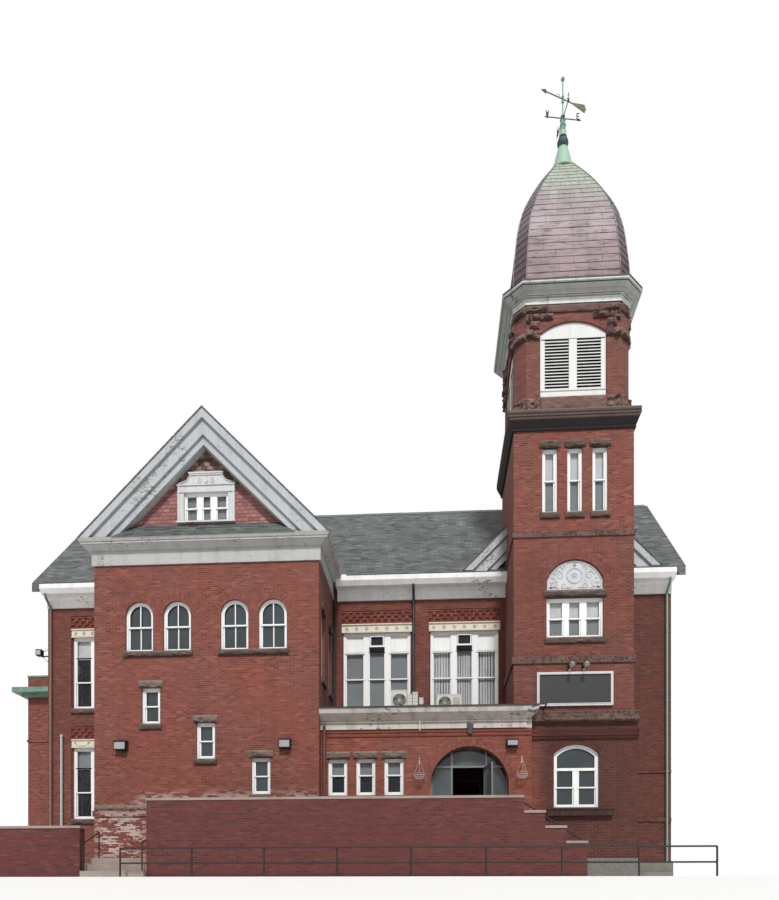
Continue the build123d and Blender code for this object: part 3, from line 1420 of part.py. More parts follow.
def wing_coping():
    """The metal coping on the wing's parapet."""
    reach = COPING_REACH
    top = WING_TOP + COPING_THICKNESS
    coping = span(WING_LEFT - reach, MAIN_LEFT, WING_FRONT - reach, MAIN_REAR + reach, WING_TOP, top)
    inside = WALL + reach
    back = MAIN_REAR - inside
    return coping - span(WING_LEFT + inside, MAIN_LEFT, WING_FRONT + inside, back, WING_TOP, top)


def ground_floor():
    """The ground floor through the main block and the pavilion, and those of porch and tower."""
    foot = GROUND_FLOOR - FLOOR_THICKNESS
    main = span(MAIN_LEFT + WALL, MAIN_RIGHT - WALL, MAIN_FRONT + WALL, MAIN_REAR - WALL, foot, GROUND_FLOOR)
    main += span(
        PAVILION_LEFT + WALL, PAVILION_RIGHT - WALL, WALL, MAIN_FRONT + WALL, foot, GROUND_FLOOR
    )
    return main - span(TOWER_LEFT, TOWER_RIGHT, TOWER_FRONT, TOWER_REAR, foot, GROUND_FLOOR)


def porch_floor():
    foot = GROUND_FLOOR - FLOOR_THICKNESS
    floor = span(PAVILION_RIGHT, PORCH_RIGHT, PORCH_FRONT + WALL, MAIN_FRONT, foot, GROUND_FLOOR)
    return floor - tower_box()


def upper_floor():
    """The upper floor, open over the stair hall behind the pavilion's front wall."""
    foot = UPPER_FLOOR - FLOOR_THICKNESS
    main = span(MAIN_LEFT + WALL, MAIN_RIGHT - WALL, MAIN_FRONT + WALL, MAIN_REAR - WALL, foot, UPPER_FLOOR)
    main += span(
        PAVILION_LEFT + WALL, PAVILION_RIGHT - WALL, STAIR_HALL, MAIN_FRONT + WALL, foot, UPPER_FLOOR
    )
    return main - tower_box()


def attic_floor():
    foot = ATTIC_FLOOR - FLOOR_THICKNESS
    main = span(MAIN_LEFT + WALL, MAIN_RIGHT - WALL, MAIN_FRONT + WALL, MAIN_REAR - WALL, foot, ATTIC_FLOOR)
    main += span(
        PAVILION_LEFT + WALL, PAVILION_RIGHT - WALL, WALL, MAIN_FRONT + WALL, foot, ATTIC_FLOOR
    )
    return main - tower_box()


def tower_floor(level):
    """A floor between the tower's four walls."""
    left = TOWER_LEFT + TOWER_WALL
    right = TOWER_RIGHT - TOWER_WALL
    near = TOWER_FRONT + TOWER_WALL
    far = TOWER_REAR - TOWER_WALL
    return span(left, right, near, far, level - FLOOR_THICKNESS, level)


def wing_floor(level):
    """A floor between the wing's walls."""
    left = WING_LEFT + WALL
    return span(left, MAIN_LEFT, WING_FRONT + WALL, MAIN_REAR - WALL, level - FLOOR_THICKNESS, level)


wall_dressing = wall_dressings()
HINGE_LINE = Location((DOOR_RIGHT, PORCH_FRONT + WALL - KNUCKLE_RADIUS - DOOR_GAP, 0))
DOOR_SWING = HINGE_LINE * Rot(Z=DOOR_OPEN_ANGLE)


def everything(field):
    """All pieces of one kind over every wall."""
    return [piece for dressing in wall_dressing.values() for piece in getattr(dressing, field)]


NODES = {
    "granite_plinth": [granite_plinth()],
    "main_front_walls": main_front_walls(),
    "main_gable_walls": main_gable_walls(),
    "main_rear_wall": [main_rear_wall()],
    "pavilion_front_wall": [pavilion_front_wall()],
    "pavilion_side_walls": pavilion_side_walls(),
    "gable_walls": [pavilion_gable_wall(), cross_gable_wall()],
    "porch_walls": [porch_front_wall(), porch_pier()],
    "porch_arch_wall": [porch_arch_wall()],
    "porch_cornice": [porch_cornice()],
    "entrance_screen": [entrance_screen()],
    "entrance_door": [entrance_door()],
    "entrance_door_glass": [entrance_door_glass()],
    "entrance_landing": [entrance_landing()],
    "tower_front_wall": [tower_front_wall()],
    "tower_side_walls": tower_side_walls(),
    "tower_rear_wall": [tower_rear_wall()],
    "tower_cornice": [tower_cornice()],
    "tower_bands": tower_bands(),
    "string_courses": string_courses(),
    "carved_panels": [tympanum()] + carved_heads(),
    "belfry_walls": [belfry_walls()],
    "belfry_stones": belfry_stones(),
    "belfry_louvres": louvre_panels(),
    "crown_cornice": [crown_cornice()],
    "dome": [dome()],
    "finial": [finial()],
    "compass_arms": [compass_arms()],
    "weather_vane": [weather_vane()],
    "main_roof_front": [roof_slope(True)],
    "main_roof_rear": [roof_slope(False)],
    "gable_roofs": [pavilion_roof(), cross_roof(), pent_roof()],
    "flat_roofs": [porch_roof(), wing_roof()],
    "eaves_cornice": eaves_cornice(),
    "pavilion_cornice": [pavilion_cornice()],
    "raking_cornices": raking_cornices(),
    "attic_surround": [attic_surround()],
    "rainwater_pipes": rainwater_pipes(),
    "wall_lamps": wall_lamps(),
    "sign_board": [sign_board()],
    "roof_units": roof_units(),
    "ground_floor": [ground_floor(), porch_floor(), tower_floor(GROUND_FLOOR), wing_floor(GROUND_FLOOR)],
    "upper_floor": [upper_floor(), tower_floor(UPPER_FLOOR), wing_floor(UPPER_FLOOR)],
    "attic_floor": [attic_floor(), tower_floor(ATTIC_FLOOR)],
    "terrace_walls": [terrace_walls()],
    "wall_copings": terrace_coping() + [garden_coping()],
    "terrace_floor": [terrace_floor()],
    "garden_wall": [garden_wall()],
    "garden_steps": [garden_steps()],
    "front_railing": [front_railing()],
    "stair_handrails": stair_handrails(),
    "wing_walls": [wing_walls()],
    "wing_cornice": [wing_cornice(), wing_coping()],
    "window_frames": everything("frames"),
    "window_glass": everything("glass") + entrance_glass(),
    "stone_sills": everything("sills") + paired_sills(),
    "stone_lintels": everything("lintels"),
}

os.makedirs("parts", exist_ok=True)
for name, pieces in NODES.items():
    moved = Compound([solid.moved(Location(-ORIGIN)) for piece in pieces for solid in piece.solids()])
    export_step(moved, f"parts/{name}.step")
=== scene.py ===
import json
import math
import random
from typing import NamedTuple

import bmesh
import bpy
from mathutils import Matrix, Vector, noise


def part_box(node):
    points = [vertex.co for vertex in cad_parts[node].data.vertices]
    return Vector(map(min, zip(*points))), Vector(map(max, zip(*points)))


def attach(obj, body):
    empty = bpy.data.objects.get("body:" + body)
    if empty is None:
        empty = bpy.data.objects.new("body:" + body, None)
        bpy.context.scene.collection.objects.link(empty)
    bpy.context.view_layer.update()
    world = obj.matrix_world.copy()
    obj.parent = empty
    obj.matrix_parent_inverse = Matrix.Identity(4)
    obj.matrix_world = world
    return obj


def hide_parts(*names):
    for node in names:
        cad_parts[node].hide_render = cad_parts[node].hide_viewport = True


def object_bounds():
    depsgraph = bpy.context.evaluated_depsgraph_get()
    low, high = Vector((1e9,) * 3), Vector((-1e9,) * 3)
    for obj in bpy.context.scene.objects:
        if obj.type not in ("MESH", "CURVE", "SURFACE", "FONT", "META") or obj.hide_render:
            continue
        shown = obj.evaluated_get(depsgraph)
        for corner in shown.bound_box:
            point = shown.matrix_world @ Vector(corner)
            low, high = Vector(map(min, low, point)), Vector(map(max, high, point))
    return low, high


# A brick town hall. Metres. X runs along the front to the right, Y runs back, Z is up.

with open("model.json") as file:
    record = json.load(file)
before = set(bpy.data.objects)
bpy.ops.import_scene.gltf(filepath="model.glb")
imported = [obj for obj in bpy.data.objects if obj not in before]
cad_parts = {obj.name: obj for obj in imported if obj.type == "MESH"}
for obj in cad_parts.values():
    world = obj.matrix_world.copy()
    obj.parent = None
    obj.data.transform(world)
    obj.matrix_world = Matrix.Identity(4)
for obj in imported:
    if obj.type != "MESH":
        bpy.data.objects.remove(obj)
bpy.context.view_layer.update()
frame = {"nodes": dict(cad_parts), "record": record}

# Places are measured from the pavilion's front face and the ground, as in the part's source.
PAVILION_CORNER = Vector((-11.46, 0, 0.73))
HOME = Vector(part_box("pavilion_front_wall")[0]) - PAVILION_CORNER

# Camera, from the photograph's own lines
CAMERA_PLACE = (0, -23.58, -0.40)
CAMERA_YAW = math.radians(3.48)
FOCAL_PIXELS = 715
FRAME_PIXELS = (779, 900)
HORIZON_PIXEL = 892
SENSOR = 36

# Light and stage
SKY_STRENGTH = 0.45
SUN_STRENGTH = 2.75
SUN_SPREAD = math.radians(8)
SUN_TURN = (math.radians(46), 0, math.radians(8))
FLOOR_COLOUR = (0.86, 0.86, 0.85)
STAGE_REACH = 140
STAGE_MARGIN = 0.6
STAGE_RUN = 40.0
STAGE_DROP = 6.0

# The building's own lines, as in the part's source
MAIN_FRONT = 3.42
MAIN_REAR = 11.78
MAIN_LEFT = -14.97
MAIN_RIGHT = 8.78
MAIN_MIDDLE = (MAIN_FRONT + MAIN_REAR) / 2
PLINTH_TOP = 0.73
PLINTH_REACH = 0.06
EAVES_FRONT = 2.90
EAVES_TOP = 11.42
EAVES_DEPTH = 0.63
RIDGE_TOP = EAVES_TOP + MAIN_MIDDLE - EAVES_FRONT
PAVILION_LEFT = -11.46
PAVILION_RIGHT = -3.78
PAVILION_CENTRE = -7.62
PAVILION_HALF_ROOF = 4.24
PAVILION_EAVES = -0.40
GABLE_FACE = 0.12
PORCH_FRONT = 0.35
PORCH_RIGHT = 3.27
PORCH_TOP = 5.73
PORCH_ROOF = PORCH_TOP - 0.125
PORCH_REACH = 0.43
ARCH_CENTRE = 1.215
ARCH_RADIUS = 1.295
ARCH_SPRINGING = 3.165
DOOR_FOOT = 1.5
DOOR_HEAD = 3.81
DOOR_LEFT = 0.665
DOOR_RIGHT = 1.765
TOWER_CENTRE = 4.69
TOWER_FRONT = 0.65
TOWER_HALF = 1.985
TOWER_RIGHT = TOWER_CENTRE + TOWER_HALF
TOWER_MIDDLE = TOWER_FRONT + TOWER_HALF
TOWER_FOOT_TOP = 5.29
BELFRY_HALF = 1.92
BELFRY_FLAT = 1.56
BELFRY_CORNER = (BELFRY_HALF + BELFRY_FLAT) / math.sqrt(2)
LOUVRE_SILL = 16.22
LOUVRE_SPRINGING = 18.36
LOUVRE_RISE = 0.39
LOUVRE_WIDTH = 2.19
CROWN_TOP = 19.88
CROWN_HALF = 2.32
CROWN_CHAMFER = 0.58
DOME_PROFILE = ((0, 1.95), (0.7, 1.945), (1.6, 1.868), (2.54, 1.745), (3.42, 1.5), (4.64, 0.955), (5.76, 0.335))
DOME_FLAT = 1 - 2 * 0.395 / 3.9
DOME_TOP = 25.64
FINIAL_TOP = 27.54
ARM_LEVEL = 27.60
ARM_REACH = 0.675
ARM_TURN = 9
VANE_LEVEL = 28.30
VANE_TURN = 24
WING_LEFT = -18.45
WING_FRONT = 8.0

# Bricks, stones and shingles at true scale
COURSE = 0.0677
BRICK = 0.213
ROWLOCK = 0.105
JOINT = 0.0045
ARCH_RINGS = 3
BRICK_PROUD = 0.004
SHINGLE_COURSE = 0.14
SHINGLE_WIDTH = 0.30
SLOPE_LENGTH = math.sqrt(2)
ROCK_STEP = 0.05

# Windows: the frame stands back in the wall, and the glass stands behind it.
REVEAL = 0.11
FRAME_FAR = 0.20
FRAME_FACE = 0.075
SILL_HEIGHT = 0.19
SILL_EAR = 0.07
SILL_REACH = 0.07
LINTEL_HEIGHT = 0.24
LINTEL_EAR = 0.10
LINTEL_REACH = 0.04
STONE_BED = 0.21
FRAME_DEPTH = 0.09
TRIM_FACE = 0.022
SASH_FACE = 0.045
SASH_DEPTH = 0.035
SASH_LAP = 0.022
PANE_INSET = 0.02
PANE_THICK = 0.012
SCREEN_BAR = 0.06
SLATS = 7

ARC_STEPS = 18
TURNED = [2 * math.pi * side / 24 for side in range(24)]
BOTH_SIDES = (-1, 1)
UP = Vector((0, 0, 1))

# Edges blunter than this, in degrees, are shaded smooth.
SMOOTH_SHEET = 30
SMOOTH_STONE = 38
SMOOTH_ROUND = 50

rng = random.Random(7)


def at(x, y, z):
    """A place given in the source's own frame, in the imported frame."""
    return HOME + Vector((x, y, z))


def wall(x, y, turn=0):
    """The frame of a wall: along it, into it and up. turn is in degrees, and 0 faces the front."""
    return Matrix.Translation(at(x, y, 0)) @ Matrix.Rotation(math.radians(turn), 4, "Z")


FRONT = wall(0, 0)
GABLE = wall(0, GABLE_FACE)
MAIN = wall(0, MAIN_FRONT)
PORCH = wall(0, PORCH_FRONT)
TOWER = wall(0, TOWER_FRONT)
RIGHT_END = wall(MAIN_RIGHT, MAIN_MIDDLE, 90)
LEFT_END = wall(MAIN_LEFT, MAIN_MIDDLE, -90)
REAR = wall(0, MAIN_REAR, 180)
PAVILION_SIDE_RIGHT = wall(PAVILION_RIGHT, MAIN_FRONT / 2, 90)
PAVILION_SIDE_LEFT = wall(PAVILION_LEFT, MAIN_FRONT / 2, -90)
TOWER_SIDE_RIGHT = wall(TOWER_RIGHT, TOWER_MIDDLE, 90)
TOWER_AXIS = wall(TOWER_CENTRE, TOWER_MIDDLE)
WING_END = wall(WING_LEFT, (WING_FRONT + MAIN_REAR) / 2, -90)


class Piece:
    """Gathers the corners and faces of one piece, each in the frame of the wall that carries it."""

    def __init__(self, name):
        self.name = name
        self.place = FRONT
        self.points = []
        self.faces = []

    def on(self, place):
        self.place = place
        return self

    def add(self, points, faces):
        first = len(self.points)
        self.points += [self.place @ Vector(point) for point in points]
        self.faces += [[first + corner for corner in face] for face in faces]

    def box(self, x0, x1, y0, y1, z0, z1):
        """A box. Its ends along the wall may come in either order."""
        corners = [(x, y, z) for x in sorted((x0, x1)) for y in (y0, y1) for z in (z0, z1)]
        self.add(corners, ((0, 1, 3, 2), (4, 6, 7, 5), (0, 4, 5, 1), (2, 3, 7, 6), (0, 2, 6, 4), (1, 5, 7, 3)))

    def boxes(self, *spans):
        for span in spans:
            self.box(*span)

    def border(self, x0, x1, y0, y1, z0, z1, face):
        """Four bars of one width round the inside of a rectangle."""
        self.box(x0, x1, y0, y1, z0, z0 + face)
        self.box(x0, x1, y0, y1, z1 - face, z1)
        self.box(x0, x0 + face, y0, y1, z0 + face, z1 - face)
        self.box(x1 - face, x1, y0, y1, z0 + face, z1 - face)

    def loft(self, rings, closed=False):
        """A skin over rings of corners, with its ends closed unless the rings close on themselves."""
        count = len(rings[0])
        faces = []
        for ring in range(len(rings) if closed else len(rings) - 1):
            base = ring * count
            far = (ring + 1) % len(rings) * count
            for corner in range(count):
                side = (corner + 1) % count
                faces.append((base + corner, base + side, far + side, far + corner))
        if not closed:
            last = (len(rings) - 1) * count
            faces.append(tuple(reversed(range(count))))
            faces.append(tuple(range(last, last + count)))
        self.add([point for ring in rings for point in ring], faces)

    def prism(self, outline, near, far):
        """A flat outline of (along, up) points with depth."""
        self.loft([[(x, y, z) for x, z in outline] for y in (near, far)])

    def band(self, outer, inner, near, far):
        """A strip between two paths of (along, up) points."""
        rings = []
        for (x0, z0), (x1, z1) in zip(outer, inner):
            rings.append([(x0, near, z0), (x1, near, z1), (x1, far, z1), (x0, far, z0)])
        self.loft(rings)

    def tube(self, path, radius, sides=8, closed=False):
        """A round bar along a path. radius is one number, or one for each point."""
        path = [Vector(point) for point in path]
        radii = radius if isinstance(radius, (list, tuple)) else [radius] * len(path)
        rings = []
        for step, point in enumerate(path):
            if closed:
                ahead = path[(step + 1) % len(path)] - path[step - 1]
            else:
                ahead = path[min(step + 1, len(path) - 1)] - path[max(step - 1, 0)]
            ahead.normalize()
            side = ahead.cross(UP if abs(ahead.z) < 0.95 else Vector((0, 1, 0))).normalized()
            over = side.cross(ahead)
            turns = [2 * math.pi * corner / sides for corner in range(sides)]
            rings.append([point + radii[step] * (math.cos(turn) * side + math.sin(turn) * over) for turn in turns])
        self.loft(rings, closed)

    def bead(self, centre, size, sides=8):
        """A low rounded boss. size is its half width, half depth and half height."""
        rings = []
        for row in range(1, 4):
            lift = math.pi * row / 4
            ring = []
            for corner in range(sides):
                turn = 2 * math.pi * corner / sides
                x = centre[0] + size[0] * math.sin(lift) * math.cos(turn)
                z = centre[2] + size[2] * math.sin(lift) * math.sin(turn)
                ring.append((x, centre[1] - size[1] * math.cos(lift), z))
            rings.append(ring)
        self.loft(rings)

    def rock(self, x0, x1, z0, z1, reach, bed, rough, step=ROCK_STEP):
        """A stone with a split face. reach is how far it stands out, bed how deep it goes in."""
        x0, x1 = sorted((x0, x1))
        across = max(3, round((x1 - x0) / step))
        tall = max(3, round((z1 - z0) / step))
        points = []
        for row in range(tall + 1):
            for column in range(across + 1):
                x = x0 + (x1 - x0) * column / across
                z = z0 + (z1 - z0) * row / tall
                edge = min(column, across - column, row, tall - row)
                spot = self.place @ Vector((x, 0, z))
                lump = noise.noise(spot * 4.1) + 0.9 * noise.noise(spot * 12.0)
                swell = 0.1 * lump if edge == 0 else 0.6 + 0.75 * lump
                sag = rough * 0.35 * (1 - row / tall)
                out = reach - rough * 0.45 + rough * swell + sag
                shift = 0.3 * step * noise.noise(spot * 9.0) if 0 < row < tall else 0.0
                points.append((x, -out, z + shift))
        faces = []
        wide = across + 1
        for row in range(tall):
            for column in range(across):
                low = row * wide + column
                faces.append((low, low + 1, low + wide + 1, low + wide))
        rim = list(range(wide))
        rim += [row * wide + across for row in range(1, tall + 1)]
        rim += [tall * wide + column for column in range(across - 1, -1, -1)]
        rim += [row * wide for row in range(tall - 1, 0, -1)]
        first = len(points)
        points += [(points[corner][0], bed, points[corner][2]) for corner in rim]
        for step_on, corner in enumerate(rim):
            following = (step_on + 1) % len(rim)
            faces.append((rim[following], corner, first + step_on, first + following))
        faces.append(tuple(first + number for number in range(len(rim))))
        self.add(points, faces)

    def show(self, material, slot, body="building", replaces=(), smooth=None):
        """Makes the object, gives it its finish and rides it on its body."""
        data = bpy.data.meshes.new(self.name)
        data.from_pydata(self.points, [], self.faces)
        shape = bmesh.new()
        shape.from_mesh(data)
        bmesh.ops.recalc_face_normals(shape, faces=shape.faces)
        shape.to_mesh(data)
        shape.free()
        if smooth:
            data.shade_smooth()
            data.set_sharp_from_angle(angle=math.radians(smooth))
        data.materials.append(material)
        made = bpy.data.objects.new(self.name, data)
        bpy.context.scene.collection.objects.link(made)
        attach(made, body)
        if replaces:
            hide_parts(*replaces)


def polar(x, y, radius, turn):
    """The point at a distance and an angle in radians from another."""
    return x + radius * math.cos(turn), y + radius * math.sin(turn)


def level_ring(x, y, z, radius):
    return [(*polar(x, y, radius, turn), z) for turn in TURNED]


def upright_ring(x, y, z, radius):
    return [(px, y, pz) for px, pz in (polar(x, z, radius, turn) for turn in TURNED)]


class Shade:
    """Builds one material's nodes."""

    def __init__(self, name):
        self.material = bpy.data.materials.new(name)
        self.material.use_nodes = True
        self.tree = self.material.node_tree
        self.surface = self.tree.nodes["Principled BSDF"]
        place = self.node("ShaderNodeTexCoord")
        self.place = place.outputs["Object"]
        self.axes = self.x, self.y, self.z = self.split(self.place)
        self.normal = place.outputs["Normal"]

    def node(self, kind, inputs=(), **settings):
        """A node with its settings, and its inputs given by name or number."""
        made = self.tree.nodes.new(kind)
        for key, value in settings.items():
            setattr(made, key, value)
        for key, value in dict(inputs).items():
            self.put(made.inputs[key], value)
        return made

    def put(self, socket, value):
        if isinstance(value, bpy.types.NodeSocket):
            self.tree.links.new(value, socket)
        elif socket.type == "RGBA" and len(value) == 3:
            socket.default_value = (*value, 1)
        else:
            socket.default_value = value

    def split(self, vector):
        return self.node("ShaderNodeSeparateXYZ", {0: vector}).outputs

    def join(self, x, y, z=0.0):
        return self.node("ShaderNodeCombineXYZ", {0: x, 1: y, 2: z}).outputs[0]

    def math(self, operation, *values):
        return self.node("ShaderNodeMath", enumerate(values), operation=operation).outputs[0]

    def mul(self, first, second):
        return self.math("MULTIPLY", first, second)

    def add(self, first, second):
        return self.math("ADD", first, second)

    def sub(self, first, second):
        return self.math("SUBTRACT", first, second)

    def noise(self, scale, detail=3.0, rough=0.55, vector=None):
        inputs = {"Vector": vector or self.place, "Scale": scale, "Detail": detail, "Roughness": rough}
        return self.node("ShaderNodeTexNoise", inputs).outputs["Fac"]

    def stretched(self, x, y, z):
        """The place, scaled by its own amount along each axis."""
        return self.node("ShaderNodeVectorMath", {0: self.place, 1: (x, y, z)}, operation="MULTIPLY").outputs[0]

    def random(self, vector):
        return self.node("ShaderNodeTexWhiteNoise", {"Vector": vector}, noise_dimensions="3D").outputs["Value"]

    def island(self):
        """A random value for each loose part of a mesh."""
        return self.node("ShaderNodeNewGeometry").outputs["Random Per Island"]

    def hollows(self, distance=0.3):
        """1 in the open, falling towards 0 in corners and under ledges. It is used to paint shade there."""
        return self.node("ShaderNodeAmbientOcclusion", {"Distance": distance}, samples=4).outputs["AO"]

    def ramp(self, value, *stops):
        """Turns a value to a colour. A stop is a place and a colour."""
        made = self.node("ShaderNodeValToRGB", {0: value})
        band = made.color_ramp.elements
        while len(band) < len(stops):
            band.new(0.5)
        for element, (place, colour) in zip(band, stops):
            element.position = place
            element.color = (*colour, 1)
        return made.outputs["Color"]

    def between(self, value, low, high):
        """0 below low, 1 above high, smooth between them."""
        inputs = enumerate((value, low, high, 0.0, 1.0))
        return self.node("ShaderNodeMapRange", inputs, interpolation_type="SMOOTHSTEP").outputs[0]

    def mix(self, amount, first, second, blend="MIX"):
        inputs = {"Factor": amount, 6: first, 7: second}
        return self.node("ShaderNodeMix", inputs, data_type="RGBA", blend_type=blend).outputs[2]

    def times(self, colour, factor, amount=1.0):
        """A colour multiplied by another."""
        return self.mix(amount, colour, factor, "MULTIPLY")

    def fade(self, colour, amount, share):
        """A plain colour that goes to a share of itself by an amount."""
        return self.mix(amount, colour, shade_of(colour, share))

    def where(self, *limits):
        """A mask from limits in the source's frame: each a side, a level and how soft its edge is."""
        found = None
        for side, level, *given in limits:
            axis, way = WAYS[side]
            soft = way * (given[0] if given else EDGE_SOFT[axis])
            edge = at(level, level, level)[axis]
            mask = self.between(self.axes[axis], edge - soft, edge + soft)
            found = self.mul(found, mask) if found else mask
        return found

    def tinted(self, colour, tints, share=1.0):
        """A colour multiplied by a share of each tint where the tint's limits hold."""
        for limits, factor in tints:
            colour = self.times(colour, tuple(1 - share + share * part for part in factor), self.where(*limits))
        return colour

    def bump(self, height, distance, strength=1.0, under=None):
        inputs = {"Height": height, "Distance": distance, "Strength": strength}
        if under:
            inputs["Normal"] = under
        return self.node("ShaderNodeBump", inputs).outputs[0]

    def finish(self, colour, roughness=0.8, normal=None, **constants):
        inputs = {"Base Color": colour, "Roughness": roughness, **constants}
        if normal:
            inputs["Normal"] = normal
        for name, value in inputs.items():
            self.put(self.surface.inputs[name.replace("_", " ")], value)
        return self.material

    def sideways(self):
        """1 on walls that face left or right, and the coordinate along a wall whichever way it faces."""
        nx, ny, _ = self.split(self.normal)
        turned = self.math("GREATER_THAN", self.math("ABSOLUTE", nx), self.math("ABSOLUTE", ny))
        return self.math("MULTIPLY_ADD", turned, self.sub(self.y, self.x), self.x)

    def wall_plane(self):
        """Coordinates along a wall and up it, or across a level face."""
        along = self.sideways()
        level = self.math("GREATER_THAN", self.math("ABSOLUTE", self.split(self.normal)[2]), 0.8)
        flat_along = self.math("MULTIPLY_ADD", level, self.sub(self.x, along), along)
        return flat_along, self.math("MULTIPLY_ADD", level, self.sub(self.y, self.z), self.z)

    def tiles(self, along, up, width, height, joint, shift=0.5):
        """Courses of tiles in running bond: a random value per tile and a mask that is 0 in joints."""
        row_place = self.math("DIVIDE", up, height)
        row = self.math("FLOOR", row_place)
        offset = self.mul(self.math("MODULO", row, 2.0), shift)
        column_place = self.add(self.math("DIVIDE", along, width), offset)
        column = self.math("FLOOR", column_place)
        in_row = self.math("FRACT", row_place)
        edge_up = self.mul(self.math("PINGPONG", in_row, 0.5), height)
        edge_along = self.mul(self.math("PINGPONG", self.math("FRACT", column_place), 0.5), width)
        body = self.between(self.math("MINIMUM", edge_up, edge_along), joint * 0.7, joint * 1.6)
        return self.random(self.join(column, row)), body, in_row


WAYS = {"right": (0, 1), "left": (0, -1), "behind": (1, 1), "before": (1, -1), "above": (2, 1), "below": (2, -1)}
EDGE_SOFT = (0.01, 0.01, 0.004)
CHALK = (0.52, 0.42, 0.38)


def shade_of(colour, share):
    return tuple(share * part for part in colour)


def brick_face(s, pick, colours, soot):
    """The colour of a brick's own face: its firing, large stains, streaks and grain."""
    dark, middle, light = colours
    tones = dark, shade_of(middle, 0.86), middle, shade_of(middle, 1.12), light
    face = s.ramp(pick, *zip((0.0, 0.22, 0.5, 0.82, 1.0), tones))
    wide = s.noise(0.35, 4.0, 0.6)
    streak = s.noise(1.0, 3.0, 0.6, s.stretched(2.2, 2.2, 0.35))
    grain = s.noise(60.0, 2.0)
    face = s.mix(s.mul(s.between(wide, 0.42, 0.72), 0.3), face, light)
    face = s.mix(s.mul(s.between(streak, 0.5, 0.78), soot), face, dark)
    return s.mix(s.mul(grain, 0.2), face, dark), wide, grain


def brick(name, colours, mortar, soot=0.35, chalk=(), tints=(), joint=JOINT):
    """Brickwork: courses at true scale, a tone of its own for each brick, soot, chalky patches, and painted shade in
    corners and recesses.

    A tint is the limits of a mask and the colour that the masked part is multiplied by. Some tints are painted shade.
    """
    s = Shade(name)
    pick, body, _ = s.tiles(*s.wall_plane(), BRICK, COURSE, joint)
    face, wide, grain = brick_face(s, pick, colours, soot)
    face = s.tinted(face, tints)
    for limits, amount in chalk:
        spots = s.noise(2.4, 4.0, 0.7, s.stretched(0.6, 0.6, 2.2))
        lost = s.between(s.add(spots, s.mul(pick, 0.12)), 0.62 - amount, 0.66 - amount)
        face = s.mix(s.mul(s.where(*limits), lost), face, CHALK)
    pointing = s.tinted(s.fade(mortar, s.between(wide, 0.35, 0.7), 0.75), tints, 0.5)
    # Painted shade: bricks and pointing darkened in corners and recesses.
    colour = s.times(s.mix(body, pointing, face), (0.55, 0.5, 0.48), s.between(s.hollows(0.5), 0.75, 0.2))
    return s.finish(colour, 0.88, s.bump(s.add(s.mul(body, 0.8), s.mul(grain, 0.2)), 0.006))


def laid_brick(name, colours, tints=()):
    """Bricks that are each a piece of their own, with a tone for each, and painted shade in the gaps between them."""
    s = Shade(name)
    face, _, grain = brick_face(s, s.island(), colours, 0.3)
    # Painted shade in the gaps between the bricks.
    face = s.times(s.tinted(face, tints), (0.35, 0.3, 0.28), s.between(s.hollows(0.05), 0.85, 0.35))
    return s.finish(face, 0.88, s.bump(grain, 0.003))


def sandstone(s, dark, light):
    """Brown sandstone's own tone and its fine grain."""
    wide = s.noise(1.6, 5.0, 0.65)
    grain = s.noise(26.0, 4.0, 0.7)
    return s.ramp(s.math("MULTIPLY_ADD", grain, 0.5, s.mul(wide, 0.5)), (0.3, dark), (0.68, light)), grain


def brownstone(name):
    """Brown sandstone with a coarse face, darker low down."""
    s = Shade(name)
    colour, grain = sandstone(s, (0.06, 0.034, 0.027), (0.2, 0.12, 0.092))
    coarse = s.noise(9.0, 4.0, 0.65)
    colour = s.times(colour, (0.45, 0.42, 0.4), s.between(coarse, 0.52, 0.4))
    colour = s.times(colour, (0.36, 0.3, 0.3), s.where(("below", 3.2, 0.3)))
    return s.finish(colour, 0.9, s.bump(coarse, 0.05, 0.8, s.bump(grain, 0.012)))


def rock(name, dark, light, pale=(0.3, 0.25, 0.21)):
    """Split stone: a tone for each block, dark hollows, painted shade on the undersides and painted light on the pale
    tops.
    """
    s = Shade(name)
    nz = s.split(s.normal)[2]
    grain = s.noise(30.0, 5.0, 0.7)
    tone = s.math("MULTIPLY_ADD", grain, 0.45, s.mul(s.noise(2.2, 5.0, 0.65), 0.45))
    colour = s.ramp(s.math("MULTIPLY_ADD", s.island(), 0.14, tone), (0.28, dark), (0.72, light))
    # Painted light: faces that turn upwards are paler.
    colour = s.mix(s.mul(s.between(nz, 0.05, 0.6), 0.55), colour, pale)
    # Painted shade: faces that turn downwards are darker.
    colour = s.times(colour, (0.38, 0.35, 0.34), s.between(nz, -0.05, -0.5))
    return s.finish(colour, 0.92, s.bump(s.noise(11.0, 4.0, 0.65), 0.09, 0.9, s.bump(grain, 0.02)))


def granite(name):
    """Plain granite for the faces that no block covers."""
    s = Shade(name)
    grain = s.noise(22.0, 6.0, 0.75)
    return s.finish(s.ramp(grain, (0.3, (0.085, 0.08, 0.073)), (0.7, (0.22, 0.205, 0.18))), 0.85, s.bump(grain, 0.01))


def split_granite(name):
    """Granite blocks with a tone for each, stains, and painted shade in the joints between them."""
    s = Shade(name)
    grain = s.noise(24.0, 6.0, 0.75)
    stain = s.mul(s.between(s.noise(1.3, 4.0, 0.6), 0.45, 0.7), 0.35)
    face = s.ramp(grain, (0.3, (0.1, 0.092, 0.08)), (0.7, (0.31, 0.285, 0.245)))
    face = s.mix(stain, s.times(face, (0.72, 0.7, 0.68), s.island()), (0.12, 0.11, 0.1))
    # Painted shade in the joints and hollows between the blocks.
    face = s.times(face, (0.45, 0.43, 0.42), s.between(s.hollows(0.12), 0.8, 0.2))
    return s.finish(face, 0.88, s.bump(grain, 0.012))


